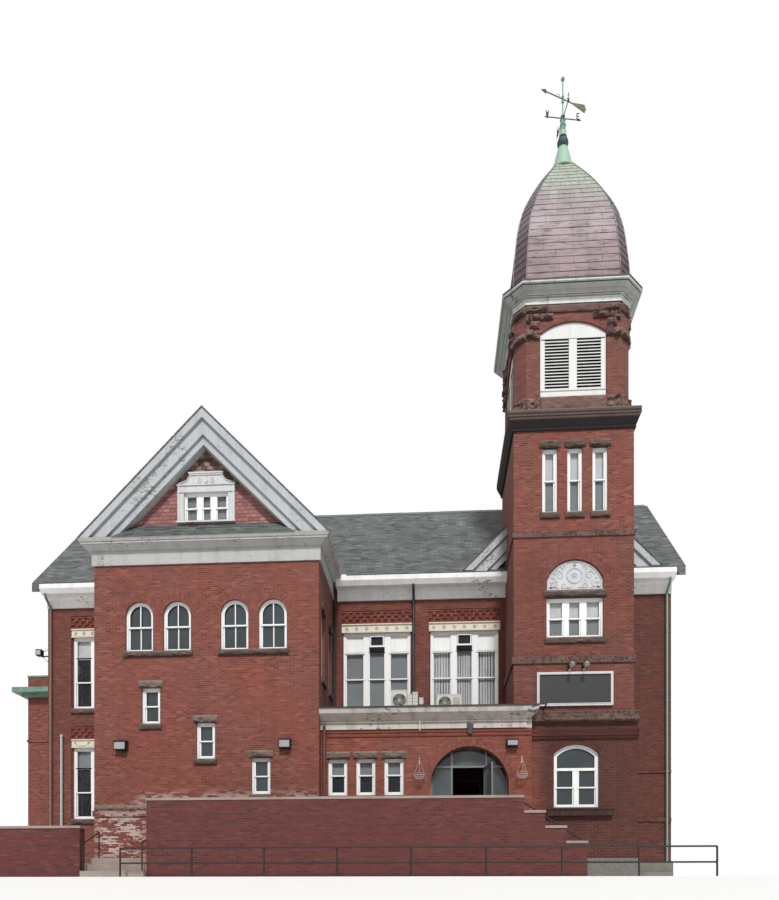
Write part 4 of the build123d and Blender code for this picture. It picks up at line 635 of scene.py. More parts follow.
def paint(name, clean, bare, wear=0.5, grime=0.4, bands=(), crease_shade=0.6):
    """Old paint on wood or metal: grime in streaks, painted shade in creases, and bare patches where it has peeled.

    A band is the limits of a mask and the colour that the masked part is multiplied by. Some bands are painted light
    and shade.
    """
    s = Shade(name)
    fine = s.noise(9.0, 6.0, 0.72, s.stretched(0.7, 0.7, 1.6))
    wide = s.noise(0.8, 3.0, 0.6)
    streak = s.noise(1.0, 4.0, 0.65, s.stretched(3.4, 3.4, 0.4))
    tone = s.fade(clean, s.mul(s.between(streak, 0.42, 0.75), grime), 0.55)
    level = s.add(fine, s.mul(s.between(wide, 0.4, 0.75), 0.12))
    lost = s.between(level, 0.78 - 0.25 * wear, 0.8 - 0.25 * wear)
    colour = s.tinted(s.mix(lost, tone, bare), bands)
    # Painted shade: darker in creases and under ledges.
    if crease_shade:
        colour = s.times(colour, (0.3, 0.27, 0.24), s.mul(s.between(s.hollows(0.25), 0.7, 0.15), crease_shade))
    return s.finish(colour, 0.62, s.bump(s.add(s.mul(lost, -1.0), s.mul(fine, 0.3)), 0.004))


def shingles(name, colours, width, course, slope, weathered_above=None):
    """Overlapping shingles: a tone for each, a shadow line at each butt, courses along the slope."""
    s = Shade(name)
    pick, body, in_row = s.tiles(s.sideways(), s.mul(s.z, slope), width, course, 0.004)
    dark, middle, light = colours
    face = s.ramp(pick, (0.0, dark), (0.35, middle), (0.8, middle), (1.0, light))
    wide = s.noise(0.6, 4.0, 0.65)
    face = s.mix(s.between(wide, 0.4, 0.75), face, s.mix(0.45, face, dark))
    if weathered_above is not None:
        high = s.between(s.add(s.z, s.mul(wide, 0.5)), weathered_above, weathered_above + 0.35)
        worn = s.ramp(s.random(s.join(pick, pick, 3.0)), (0.2, (0.045, 0.022, 0.018)), (0.75, (0.3, 0.2, 0.16)))
        face = s.mix(s.mul(high, 0.85), face, worn)
    colour = s.mix(s.between(in_row, 0.0, 0.16), shade_of(dark, 0.25), face)
    colour = s.mix(body, shade_of(dark, 0.4), colour)
    height = s.add(s.sub(1.0, in_row), s.mul(pick, 0.25))
    return s.finish(colour, 0.85, s.bump(s.mul(height, body), 0.012))


def copper(name, low, high, change=0.5):
    """Weathered copper that turns green towards the top, with a painted sheen that makes it lighter and bluer from
    mid-height up and darker at its foot, painted shade on its cut corners, and painted shadow dashes at the lap lines
    low down.
    """
    s = Shade(name)
    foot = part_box("dome")[0][2]
    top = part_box("dome")[1][2]
    wide = s.noise(1.1, 4.0, 0.7)
    fine = s.noise(14.0, 5.0, 0.7)
    streak = s.noise(1.0, 3.0, 0.6, s.stretched(4.0, 4.0, 0.5))
    level = s.math("DIVIDE", s.sub(s.z, foot), top - foot)
    green = s.between(s.add(level, s.mul(s.sub(streak, 0.5), 0.7)), change, change + 0.35)
    tone = s.fade(low, s.between(wide, 0.35, 0.7), 0.74)
    tone = s.mix(s.mul(s.between(fine, 0.55, 0.8), 0.35), tone, shade_of(low, 0.55))
    # Painted sheen: lighter and bluer from mid-height up, darker at the foot.
    painted_sheen = s.mul(s.between(level, 0.08, 0.45), s.between(s.add(level, s.mul(wide, 0.2)), 0.0, 0.6))
    tone = s.mix(painted_sheen, s.times(tone, (0.72, 0.68, 0.7)), s.times(tone, (1.16, 1.32, 1.33)))
    colour = s.mix(green, tone, s.fade(high, s.between(fine, 0.42, 0.62), 0.62))
    # Painted shadow: dark dashes along the lap lines low down.
    lap_shadows = s.between(s.noise(1.0, 4.0, 0.7, s.stretched(1.8, 1.8, 12.0)), 0.53, 0.62)
    colour = s.times(colour, (0.5, 0.44, 0.46), s.mul(lap_shadows, s.between(level, 0.75, 0.3)))
    # Painted shade: the cut corners are darker.
    nx, ny, _ = s.split(s.normal)
    colour = s.times(colour, (0.44, 0.42, 0.48), s.between(s.math("ABSOLUTE", s.mul(nx, ny)), 0.18, 0.3))
    dents = s.add(s.mul(wide, 0.7), s.mul(fine, 0.12))
    return s.finish(colour, s.math("MULTIPLY_ADD", wide, 0.2, 0.5), s.bump(dents, 0.02), Metallic=0.15)


def verdigris(name, colour=(0.22, 0.42, 0.33)):
    """Copper that has gone green all over."""
    s = Shade(name)
    wide = s.noise(3.0, 5.0, 0.7)
    tone = s.ramp(wide, (0.3, shade_of(colour, 0.45)), (0.65, colour))
    return s.finish(tone, 0.6, s.bump(wide, 0.006), Metallic=0.15)


def metal(name, colour, roughness=0.45, metallic=0.6, zones=()):
    """Painted or bare metal. A zone is the limits of a mask and the colour that it has instead."""
    s = Shade(name)
    fine = s.noise(30.0, 4.0)
    tone = s.fade(colour, s.mul(fine, 0.5), 0.5)
    for limits, other in zones:
        tone = s.mix(s.where(*limits), tone, other)
    return s.finish(tone, roughness, s.bump(fine, 0.001), Metallic=metallic)


def concrete(name, colour=(0.36, 0.29, 0.25)):
    s = Shade(name)
    fine = s.noise(40.0, 3.0)
    tone = s.fade(colour, s.between(s.noise(1.2, 5.0, 0.7), 0.35, 0.75), 0.6)
    return s.finish(s.mix(s.mul(fine, 0.3), tone, shade_of(colour, 0.5)), 0.9, s.bump(fine, 0.004))


def boards(name, colour):
    s = Shade(name)
    pick, body, _ = s.tiles(s.x, s.y, 2.4, 0.14, 0.003)
    grain = s.noise(3.0, 5.0, 0.6, s.stretched(1.0, 14.0, 1.0))
    tone = s.mix(s.mul(grain, 0.5), s.fade(colour, s.mul(pick, 0.5), 0.6), shade_of(colour, 0.4))
    return s.finish(s.mix(body, (0.02, 0.015, 0.01), tone), 0.55, s.bump(body, 0.003))


def felt(name):
    s = Shade(name)
    tone = s.mix(s.between(s.noise(0.7, 4.0), 0.35, 0.7), (0.06, 0.06, 0.062), (0.11, 0.108, 0.1))
    return s.finish(tone, 0.9, s.bump(s.noise(50.0, 3.0), 0.003))


def window_glass(name, dark=(0.02, 0.028, 0.032), light=(0.05, 0.065, 0.07), body=0.4):
    """Old window glass: a little uneven. body is how much of it isn't clear; a low body is a faint cloudy film, and
    the high body of tinted glass is painted shade and painted reflection.
    """
    s = Shade(name)
    tone = s.mix(s.between(s.noise(0.9, 4.0, 0.6), 0.3, 0.75), dark, light)
    return s.finish(tone, 0.03, s.bump(s.noise(1.5, 2.0), 0.004), Alpha=body, Specular_IOR_Level=0.8)


def cloth(name, colour):
    """Old roller blinds and curtains, with faint upright folds and stains."""
    s = Shade(name)
    folds = s.noise(1.0, 2.0, 0.5, s.stretched(9.0, 9.0, 0.25))
    stain = s.mul(s.between(s.noise(1.2, 4.0, 0.6), 0.45, 0.75), 0.6)
    tone = s.times(s.fade(colour, s.mul(folds, 0.45), 0.6), (0.7, 0.68, 0.66), stain)
    return s.finish(tone, 0.9, s.bump(folds, 0.004))


def shadow(name, colour=(0.006, 0.006, 0.007)):
    """The dark of a hollow that nothing lights."""
    s = Shade(name)
    return s.finish(s.fade(colour, s.noise(8.0), 2.0), 0.95)


def lens(name, colour):
    s = Shade(name)
    return s.finish(s.fade(colour, s.noise(12.0), 0.7), 0.25)


# Parts of the building, for masks: limits in the source's frame, as Shade.where takes them
TOWER_FOOT = (
    ("below", TOWER_FOOT_TOP, 0.12),
    ("right", PORCH_RIGHT + 0.3, 0.3),
    ("left", TOWER_RIGHT + 0.25),
    ("before", 5.0),
)
TOWER_SHAFT = (("above", TOWER_FOOT_TOP, 0.12), ("right", 2.7), ("left", 6.7), ("below", 11.0, 0.8), ("before", 5.0))
MAIN_FACE = (("behind", 3.2), ("before", 3.95))
RECESSED_FRONTS = (*MAIN_FACE, ("left", 2.7), ("above", 5.4, 0.1))
LEFT_STRIP = (*MAIN_FACE, ("left", -11.4))
RIGHT_STRIP = (*MAIN_FACE, ("right", 6.7))
VESTIBULE = (("behind", 0.77), ("before", 3.65), ("right", -3.75), ("left", 3.2), ("below", 5.45))
PAVILION_FLANK = (("right", -3.80, 0.005), ("left", -3.70), ("before", 3.4), ("above", 5.5, 0.1))
PAVILION_FACE = (("before", 0.3), ("behind", -1.0))
LEFT_PATCH = (("right", -11.4, 0.3), ("left", -9.7, 0.4), ("above", 0.75, 0.3), ("below", 2.35, 0.5), *PAVILION_FACE)
STAIR_PATCH = (("right", -9.9, 0.4), ("left", -3.9, 0.4), ("above", 2.1, 0.3), ("below", 2.85, 0.35), *PAVILION_FACE)
BELFRY_PART = (("above", 15.6), ("right", 2.0))
UNDER_PORCH_CORNICE = (("above", 5.02, 0.12), ("below", 5.8, 0.01))
PORCH_CROWN_EDGE = (("above", PORCH_TOP - 0.075, 0.01),)
# The crown's bands, for its painted light and shade: the frieze and the lip lighter, the cove darker.
CROWN_FRIEZE = (("below", 19.53, 0.01),)
CROWN_COVE = (("above", 19.585, 0.01), ("below", 19.735, 0.02))
CROWN_LIP = (("above", 19.775, 0.01),)
TYMPANUM_PLACE = (("right", 3.0),)
WHITE_PIPE = (("left", -14.25), ("right", -14.52))
TAN_PIPE = (("left", -14.6),)
BROWN_PIPE = (("left", -3.4), ("right", -3.75), ("before", 1.0))
BLACK_PIPE = (("right", -3.75), ("left", -0.5), ("behind", 1.0))
FINIAL_BALL = (("above", DOME_TOP + 0.85, 0.01), ("below", DOME_TOP + 1.27, 0.02))
FINIAL_POST = (("above", DOME_TOP + 1.47, 0.02),)


def brownstone_cornice(name):
    """The tower's cornice: a greenish lip, a painted shadow line under it, tan fascias, and a dark cove that is
    partly dark stone and partly painted shade.
    """
    s = Shade(name)
    colour, grain = sandstone(s, (0.05, 0.03, 0.026), (0.14, 0.09, 0.076))
    # The dark cove: partly dark stone, partly painted shade.
    colour = s.times(colour, (0.05, 0.035, 0.035), s.where(("below", 15.355, 0.03)))
    # Painted shadow: a dark line under the lip.
    colour = s.times(colour, (0.22, 0.2, 0.2), s.where(("above", 15.50), ("below", 15.555)))
    colour = s.mix(s.where(("above", 15.62, 0.006)), colour, (0.13, 0.15, 0.115))
    return s.finish(colour, 0.9, s.bump(grain, 0.008))


class Window(NamedTuple):
    """An opening as the source has it, with how its lights are divided.

    rails are shares of the clear height. bar is the width of the post between two lights. muntin is a
    thin bar in the middle of each sash. face is the width of the outer frame, and reveal how far back it is.
    """

    place: Matrix
    centre: float
    sill: float
    width: float
    height: float
    lights: int = 1
    rise: float = 0.0
    rails: tuple = (0.5,)
    bar: float = 0.11
    blinds: tuple = ()
    muntin: float = 0.0
    face: float = FRAME_FACE
    reveal: float = REVEAL

    @property
    def left(self):
        return self.centre - self.width / 2

    @property
    def right(self):
        return self.centre + self.width / 2

    @property
    def top(self):
        return self.sill + self.height


def row(place, centres, sill, width, height, **division):
    return [Window(place, centre, sill, width, height, **division) for centre in centres]


SILL_ROWS = (2.43, 6.72)
GABLE_PITCH = 2.19868
REAR_PITCH = (MAIN_RIGHT - MAIN_LEFT) / 7.2
REAR_MIDDLE = -(MAIN_LEFT + MAIN_RIGHT) / 2
WING_PITCH = 0.9072
TALL_RAILS = (0.37, 0.73)

ARCHED = row(FRONT, (-9.90, -8.60, -6.64, -5.34), 7.72, 0.95, 1.68, rise=0.475, muntin=0.035, face=0.06)
STAIR = [Window(FRONT, -9.50 + 1.88 * step, 5.27 - 1.20 * step, 0.64, 1.22) for step in range(3)]
ATTIC = row(
    GABLE, (PAVILION_CENTRE,), 12.08, 1.50, 0.95, lights=3, bar=0.15, blinds=("grey", "grey"), face=0.04, reveal=0.01
)
STRIP = [
    Window(MAIN, -13.215, SILL_ROWS[0], 1.52, 2.77, lights=2, rails=TALL_RAILS, blinds=("", "", "grey")),
    Window(MAIN, -13.215, SILL_ROWS[1], 1.52, 2.77, lights=2, rails=TALL_RAILS, blinds=("", "", "pale")),
]
TRIPLE = [
    Window(MAIN, -2.125, 6.55, 2.55, 2.88, lights=3, rails=(0.39, 0.76), bar=0.16, blinds=("grey", "grey", "")),
    Window(MAIN, 1.180, 6.55, 2.55, 2.88, lights=3, rails=(0.39, 0.76), bar=0.16, blinds=("slats", "slats", "")),
]
PORCH_ROW = row(PORCH, (-3.205, -2.255, -1.305), 2.85, 0.65, 1.23, rails=(0.56,), blinds=("", "grey"))
SEGMENTAL = row(TOWER, (4.785,), 2.42, 1.49, 2.12, lights=2, rise=0.32, rails=(0.31, 0.62), bar=0.13)
TYMPANUM_ROW = row(TOWER, (4.74,), 8.11, 1.88, 1.34, lights=3, bar=0.15, blinds=("grey", "pale"))
TALL = row(TOWER, (3.91, 4.74, 5.57), 12.30, 0.51, 2.17, rails=(0.52,), blinds=("grey", "pale"))
SIDES = (
    row(PAVILION_SIDE_RIGHT, (-0.8, 0.8), 6.90, 0.70, 2.30, rails=TALL_RAILS)
    + row(PAVILION_SIDE_LEFT, (-0.8, 0.8), 6.90, 0.70, 2.30, rails=TALL_RAILS)
    + row(PAVILION_SIDE_LEFT, (-0.8, 0.8), 2.90, 0.70, 1.90)
    + row(TOWER_SIDE_RIGHT, (-0.87,), 12.30, 0.51, 2.17, rails=(0.52,), blinds=("grey", "pale"))
    + row(RIGHT_END, (0,), 12.30, 1.40, 1.30, lights=2)
    + row(LEFT_END, (0,), 12.30, 1.40, 1.30, lights=2)
)
for sill in SILL_ROWS:
    SIDES += row(
        RIGHT_END, (-GABLE_PITCH, 0, GABLE_PITCH), sill, 1.10, 2.50, rails=TALL_RAILS, blinds=("", "", "grey")
    )
    SIDES += row(LEFT_END, (GABLE_PITCH,), sill, 1.10, 2.50, rails=TALL_RAILS)
    SIDES += row(
        REAR,
        [REAR_MIDDLE + bay * REAR_PITCH for bay in range(-3, 4)],
        sill,
        1.70,
        2.50,
        lights=2,
        rails=TALL_RAILS,
        blinds=("", "", "grey"),
    )
for sill in (2.43, 6.00):
    SIDES += row(WING_END, (-WING_PITCH, WING_PITCH), sill, 0.90, 1.90)
WINDOWS = ARCHED + STAIR + ATTIC + STRIP + TRIPLE + PORCH_ROW + SEGMENTAL + TYMPANUM_ROW + TALL + SIDES


def arc(centre, level, radius, start, end, steps=ARC_STEPS, squash=1.0):
    """Points on an arc over a wall, from one angle to another in degrees, 0 at the right."""
    turns = [math.radians(start + (end - start) * step / steps) for step in range(steps + 1)]
    return [(centre + radius * math.cos(turn), level + squash * radius * math.sin(turn)) for turn in turns]


def head_arc(centre, spring, half, rise, grow=0.0):
    """The arch over an opening, from its right foot to its left, drawn out by grow."""
    radius = (half * half + rise * rise) / (2 * rise)
    level = spring + rise - radius
    lean = math.degrees(math.asin(min(1.0, half / radius)))
    return arc(centre, level, radius + grow, 90 - lean, 90 + lean)


def head_of(opening, inset):
    """The arch of an opening's outline drawn in by an inset."""
    rise = opening.rise * (1 - 2 * inset / opening.width)
    spring = opening.top - inset - rise
    return head_arc(opening.centre, spring, opening.width / 2 - inset, rise)


def surround(piece, opening, inset, face, near, far):
    """A frame inside an opening, with an arched head where the opening has one."""
    left = opening.left + inset
    right = opening.right - inset
    foot = opening.sill + inset
    if not opening.rise:
        piece.border(left, right, near, far, foot, opening.top - inset, face)
        return
    piece.box(left, right, near, far, foot, foot + face)
    outer = [(right, foot + face), *head_of(opening, inset), (left, foot + face)]
    inner = [(right - face, foot + face), *head_of(opening, inset + face), (left + face, foot + face)]
    piece.band(outer, inner, near, far)


def cells(opening):
    """The clear lights of an opening: their column and row, left, right, foot and top."""
    pitch = (opening.width - 2 * opening.face) / opening.lights
    clear = opening.height - 2 * opening.face
    marks = [0.0, *opening.rails, 1.0]
    for column in range(opening.lights):
        left = opening.left + opening.face + column * pitch
        x0 = left + (opening.bar / 2 if column else 0)
        half_bar = opening.bar / 2 if column < opening.lights - 1 else 0
        x1 = opening.left + opening.face + (column + 1) * pitch - half_bar
        for level, (low, high) in enumerate(zip(marks, marks[1:])):
            foot = opening.sill + opening.face
            yield column, level, x0, x1, foot + low * clear, foot + high * clear


def joinery(opening, piece):
    """The frame of a window, its posts, and a pair of sashes in each light, the upper one in front."""
    face = opening.face
    near = opening.reveal
    far = near + FRAME_DEPTH
    left = opening.left + face
    right = opening.right - face
    piece.on(opening.place)
    surround(piece, opening, 0, face, near, far)
    surround(piece, opening, -0.004, TRIM_FACE, near - 0.012, near)
    pitch = (opening.width - 2 * face) / opening.lights
    low = opening.sill + face + opening.rails[-1] * (opening.height - 2 * face)
    for post in range(1, opening.lights):
        x = left + post * pitch
        tall = low if opening.rise else opening.top - face / 2
        piece.box(x - opening.bar / 2, x + opening.bar / 2, near + 0.012, far, opening.sill + 0.05, tall)
    rows = len(opening.rails)
    for _, level, x0, x1, foot, top in cells(opening):
        middle = (x0 + x1) / 2
        sash_near = near + (0.018 if level else 0.052)
        half = opening.muntin / 2
        if half:
            piece.box(middle - half, middle + half, sash_near + 0.004, sash_near + 0.03, foot, top - 0.03)
        if opening.rise and level == rows:
            continue
        foot -= SASH_LAP if level else 0.0
        top += SASH_LAP if level < rows else 0.0
        piece.border(x0, x1, sash_near, sash_near + SASH_DEPTH, foot, top, SASH_FACE)
    if opening.rise:
        half = 0.045 if opening.lights > 1 else 0.024
        piece.box(left, right, near + 0.004, far - 0.01, low - half, low + half)
        outer = [(right, low), *head_of(opening, face), (left, low)]
        inner = [(right - SASH_FACE, low), *head_of(opening, face + SASH_FACE), (left + SASH_FACE, low)]
        piece.band(outer, inner, near + 0.018, near + 0.053)


def panes(opening, clear, tinted):
    """One thin pane of glass behind all of a window's sashes."""
    piece = clear if opening.blinds else tinted
    piece.on(opening.place)
    near = opening.reveal + FRAME_DEPTH
    left = opening.left + PANE_INSET
    right = opening.right - PANE_INSET
    foot = opening.sill + PANE_INSET
    if opening.rise:
        piece.prism([(left, foot), (right, foot), *head_of(opening, PANE_INSET)], near, near + PANE_THICK)
    else:
        piece.box(left, right, near, near + PANE_THICK, foot, opening.top - PANE_INSET)


def entrance_panes(piece):
    """Glass in the entrance screen's fixed lights, beside the doorway and over it."""
    near = PORCH_FRONT + 0.45
    far = near + PANE_THICK
    left = ARCH_CENTRE - ARCH_RADIUS + SCREEN_BAR
    right = ARCH_CENTRE + ARCH_RADIUS - SCREEN_BAR
    top = ARCH_SPRINGING + ARCH_RADIUS
    for foot, head in ((DOOR_FOOT, DOOR_HEAD), (DOOR_HEAD + SCREEN_BAR, top)):
        piece.box(left, DOOR_LEFT - SCREEN_BAR, near, far, foot, head)
        piece.box(DOOR_RIGHT + SCREEN_BAR, right, near, far, foot, head)
    piece.box(DOOR_LEFT, DOOR_RIGHT, near, far, DOOR_HEAD + SCREEN_BAR, top)


def hang_blinds(opening, pale, grey):
    """Blinds behind the glass, in the lights that have them."""
    near = opening.reveal + 0.125
    pale.on(opening.place)
    grey.on(opening.place)
    for _, level, x0, x1, foot, top in cells(opening):
        kind = opening.blinds[level] if level < len(opening.blinds) else ""
        if kind == "slats":
            pitch = (x1 - x0) / SLATS
            for slat in range(SLATS):
                x = x0 + (slat + 0.5) * pitch
                lean = 0.35 * pitch + 0.08 * pitch * rng.random()
                far = near + (0.02 + 0.03 * rng.random())
                plan = [(x - lean, near), (x + lean, far), (x + lean, far + 0.003), (x - lean, near + 0.003)]
                pale.loft([[(*corner, z) for corner in plan] for z in (foot, top)])
        elif kind:
            piece = pale if kind == "pale" else grey
            piece.box(x0 - 0.02, x1 + 0.02, near, near + 0.004, foot - 0.02, top + 0.02)


def blank_transoms(piece, dark):
    """The boarded transom lights of the two large windows, each with a vent unit in the middle one."""
    near = REVEAL + 0.03
    piece.on(MAIN)
    dark.on(MAIN)
    for opening in TRIPLE:
        for column, level, x0, x1, foot, top in cells(opening):
            if level != 2:
                continue
            left = x0 + 0.03
            right = x1 - 0.03
            if column != 1:
                piece.box(left, right, near + 0.045, FRAME_FAR, foot + 0.03, top - 0.02)
                piece.box(x0 - 0.03, x1 + 0.03, near - 0.05, near, foot - 0.045, foot - 0.005)
                continue
            shelf = foot + 0.36 * (top - foot)
            piece.box(left, right, near - 0.06, FRAME_FAR, shelf - 0.03, shelf + 0.03)
            piece.border(x0 + 0.06, x1 - 0.06, near - 0.05, near - 0.05 + 0.06, shelf, top - 0.02, 0.035)
            dark.box(x0 + 0.09, x1 - 0.09, near + 0.01, near + 0.03, shelf + 0.03, top - 0.05)
            dark.box(left, right, near - 0.03, near, foot + 0.05, shelf - 0.03)
            for fin in range(7):
                z = foot + 0.06 + fin * (shelf - foot - 0.1) / 7
                dark.box(left, right, near - 0.045, near - 0.03, z, z + 0.012)


def stones(sills, lintels, tan):
    """Rock-faced sills and lintels, where the source has them."""
    bed = STONE_BED - 0.002

    def sill(place, left, right, top, rough):
        sills.on(place).rock(left - SILL_EAR, right + SILL_EAR, top - SILL_HEIGHT, top, SILL_REACH, bed, rough)

    for opening in WINDOWS:
        if opening not in ARCHED + PORCH_ROW + ATTIC:
            sill(opening.place, opening.left, opening.right, opening.sill, 0.035)
        if opening.rise or opening in ATTIC + STRIP + TRIPLE:
            continue
        block = (tan if opening in STAIR + PORCH_ROW else lintels).on(opening.place)
        left = opening.left - LINTEL_EAR
        right = opening.right + LINTEL_EAR
        block.rock(left, right, opening.top, opening.top + LINTEL_HEIGHT, LINTEL_REACH, bed, 0.05)
    for first, second in (ARCHED[:2], ARCHED[2:]):
        sill(FRONT, first.left, second.right, first.sill, 0.045)


def voussoirs(piece, path_at):
    """Rings of bricks on end round an arch. path_at gives the arch's line at a distance out from it."""
    for ring in range(ARCH_RINGS):
        lines = path_at(ring * ROWLOCK + 0.003), path_at((ring + 1) * ROWLOCK - 0.003)
        reach = sum(math.dist(a, b) for a, b in zip(lines[0], lines[0][1:]))
        count = max(5, round(reach / COURSE))
        for brick_on in range(count):
            ends = []
            for line in lines:
                for share in ((brick_on + 0.06) / count, (brick_on + 0.94) / count):
                    spot = share * (len(line) - 1)
                    step = min(int(spot), len(line) - 2)
                    ends.append([a + (spot - step) * (b - a) for a, b in zip(line[step], line[step + 1])])
            out = BRICK_PROUD * (0.6 + 0.8 * rng.random())
            piece.prism([ends[0], ends[1], ends[3], ends[2]], -out, 0.01)


def brick_arches(piece):
    piece.on(FRONT)
    for opening in ARCHED:
        half = opening.width / 2
        voussoirs(piece, lambda grow: arc(opening.centre, opening.top - half, half + grow, 0, 180))
    low = SEGMENTAL[0]
    wide = TYMPANUM_ROW[0]
    piece.on(TOWER)
    voussoirs(piece, lambda grow: head_arc(low.centre, low.top - low.rise, low.width / 2, low.rise, grow))
    voussoirs(piece, lambda grow: head_arc(wide.centre, TYMPANUM_SPRING, wide.width / 2, TYMPANUM_RISE, grow))
    piece.on(PORCH)
    voussoirs(piece, lambda grow: arc(ARCH_CENTRE, ARCH_SPRINGING, ARCH_RADIUS + grow, 0, 180, 36))


TYMPANUM_FOOT = 9.71
TYMPANUM_SPRING = 10.07
TYMPANUM_RISE = 0.66
HEAD_HEIGHT = 0.33
BAY_EAR = 0.06
BAY_RECESS = 0.06
# The tympanum's scrolls: distance from its centre, level, size, turns and start
SCROLLS = (
    (0.50, 10.22, 0.15, 1.3, 0.4),
    (0.70, 9.95, 0.14, 1.2, 2.2),
    (0.34, 9.90, 0.11, 1.2, 3.6),
    (0.34, 10.50, 0.09, 1.1, 5.2),
)


def basket_weave(piece):
    """Panels of paired bricks, laid flat and on end by turns, over the main windows."""
    unit = 2 * COURSE
    gap = 0.006
    back = BAY_RECESS + 0.01
    piece.on(MAIN)
    for opening in STRIP + TRIPLE:
        left = opening.left - BAY_EAR
        foot = opening.top + HEAD_HEIGHT + 0.01
        wide = opening.width + 2 * BAY_EAR
        columns = round(wide / unit)
        pitch = wide / columns
        for level in range(3):
            for column in range(columns):
                x = left + column * pitch
                z = foot + level * unit
                flat = (level + column) % 2
                for half in range(2):
                    near = BAY_RECESS - gap - 0.012 * rng.random() - (0.044 if flat else 0)
                    if flat:
                        z0 = z + half * COURSE
                        piece.box(x + gap, x + pitch - gap, near, back, z0 + gap, z0 + COURSE - gap)
                    else:
                        x0 = x + half * pitch / 2
                        piece.box(x0 + gap, x0 + pitch / 2 - gap, near, back, z + gap, z + unit - gap)
        z = foot + 3 * unit
        columns = round(wide / BRICK)
        for column in range(columns):
            x = left + column * wide / columns
            piece.box(x + 0.004, x + wide / columns - 0.004, 0.01, back, z + gap, z + COURSE - 0.004)


def rosette(piece, x, z, size, face):
    """A round flower of eight petals in low relief."""
    piece.bead((x, face, z), (0.3 * size, 0.036, 0.3 * size))
    for petal in range(8):
        px, pz = polar(x, z, 0.62 * size, math.pi * petal / 4)
        piece.bead((px, face, pz), (0.25 * size, 0.026, 0.25 * size), 6)


def relief_tube(piece, path, radius, face):
    """A rounded moulding that lies on a panel."""
    piece.tube([(x, face, z) for x, z in path], radius, 6)


def carved_heads(piece):
    """Mouldings, rosettes and a swag on the cream heads of the main windows."""
    face = 0.02
    piece.on(MAIN)
    for opening in STRIP + TRIPLE:
        half = opening.width / 2 + BAY_EAR
        foot = opening.top
        top = foot + HEAD_HEIGHT
        left = opening.centre - half
        lines = (-0.025, top - 0.035, top), (-0.005, top - 0.055, top - 0.035), (-0.015, foot, foot + 0.022)
        for near, low, high in lines:
            piece.box(left, opening.centre + half, near, 0.05, low, high)
        beads = round(2 * half / 0.07)
        for bead in range(beads):
            x = left + (bead + 0.5) * 2 * half / beads
            piece.box(x - 0.022, x + 0.022, -0.008, 0.03, foot + 0.03, foot + 0.055)
        middle = foot + 0.165
        if opening is STRIP[0]:
            for side in BOTH_SIDES:
                centre = opening.centre + side * half / 2
                hang = arc(centre, middle + 0.06, 0.26, 200, 340, 12, 0.5)
                relief_tube(piece, hang, [0.012 + 0.014 * math.sin(math.pi * k / 12) for k in range(13)], face)
                rosette(piece, centre - 0.27, middle + 0.03, 0.06, face)
                rosette(piece, centre + 0.27, middle + 0.03, 0.06, face)
            continue
        count = 7 if opening in TRIPLE else 5
        for flower in range(count):
            rosette(piece, left + (flower + 0.5) * 2 * half / count, middle, 0.085, face)


def spiral(x, z, size, turns, start, hand, steps=20):
    """A scroll that winds in on itself."""
    shares = [step / steps for step in range(steps + 1)]
    return [polar(x, z, size * (1 - 0.85 * share), start + hand * 2 * math.pi * turns * share) for share in shares]


def tympanum_relief(piece):
    """Scrolls and leaves in low relief on the white panel over the tower's triple window."""
    piece.on(TOWER)
    face = 0.09
    rim = 0.045
    centre = TYMPANUM_ROW[0].centre
    half = TYMPANUM_ROW[0].width / 2
    head = head_arc(centre, TYMPANUM_SPRING, half - rim, TYMPANUM_RISE - rim)
    path = [(centre + half - rim, TYMPANUM_FOOT), *head, (centre - half + rim, TYMPANUM_FOOT)]
    relief_tube(piece, path, 0.036, face)
    piece.box(centre - half, centre + half, face - 0.05, face + 0.02, TYMPANUM_FOOT, TYMPANUM_FOOT + 0.05)
    relief_tube(piece, arc(centre, 10.22, 0.25, 0, 360, 24), 0.03, face)
    rosette(piece, centre, 10.22, 0.13, face)
    rosette(piece, centre, 10.57, 0.07, face)
    for side in BOTH_SIDES:
        for x, z, size, turns, start in SCROLLS:
            path = spiral(centre + side * x, z, size, turns, start if side > 0 else math.pi - start, side)
            relief_tube(piece, path, [0.03 - 0.0009 * k for k in range(len(path))], face)
        for leaf in range(7):
            turn = math.radians(90 - side * (22 + 11 * leaf))
            x = centre + 0.80 * half * 1.05 * math.cos(turn)
            piece.bead((x, face, TYMPANUM_SPRING - 0.28 + 0.86 * math.sin(turn)), (0.06, 0.034, 0.036), 6)
        for leaf in range(4):
            piece.bead((centre + side * (0.18 + 0.2 * leaf), face, 9.815), (0.07, 0.034, 0.03), 6)


def belfry_face(side):
    """The frame of one face of the belfry, or of a cut corner where side has a half."""
    out = BELFRY_HALF if side == int(side) else BELFRY_CORNER
    return wall(TOWER_CENTRE, TOWER_MIDDLE, 90 * side) @ Matrix.Translation((0, -out, 0))


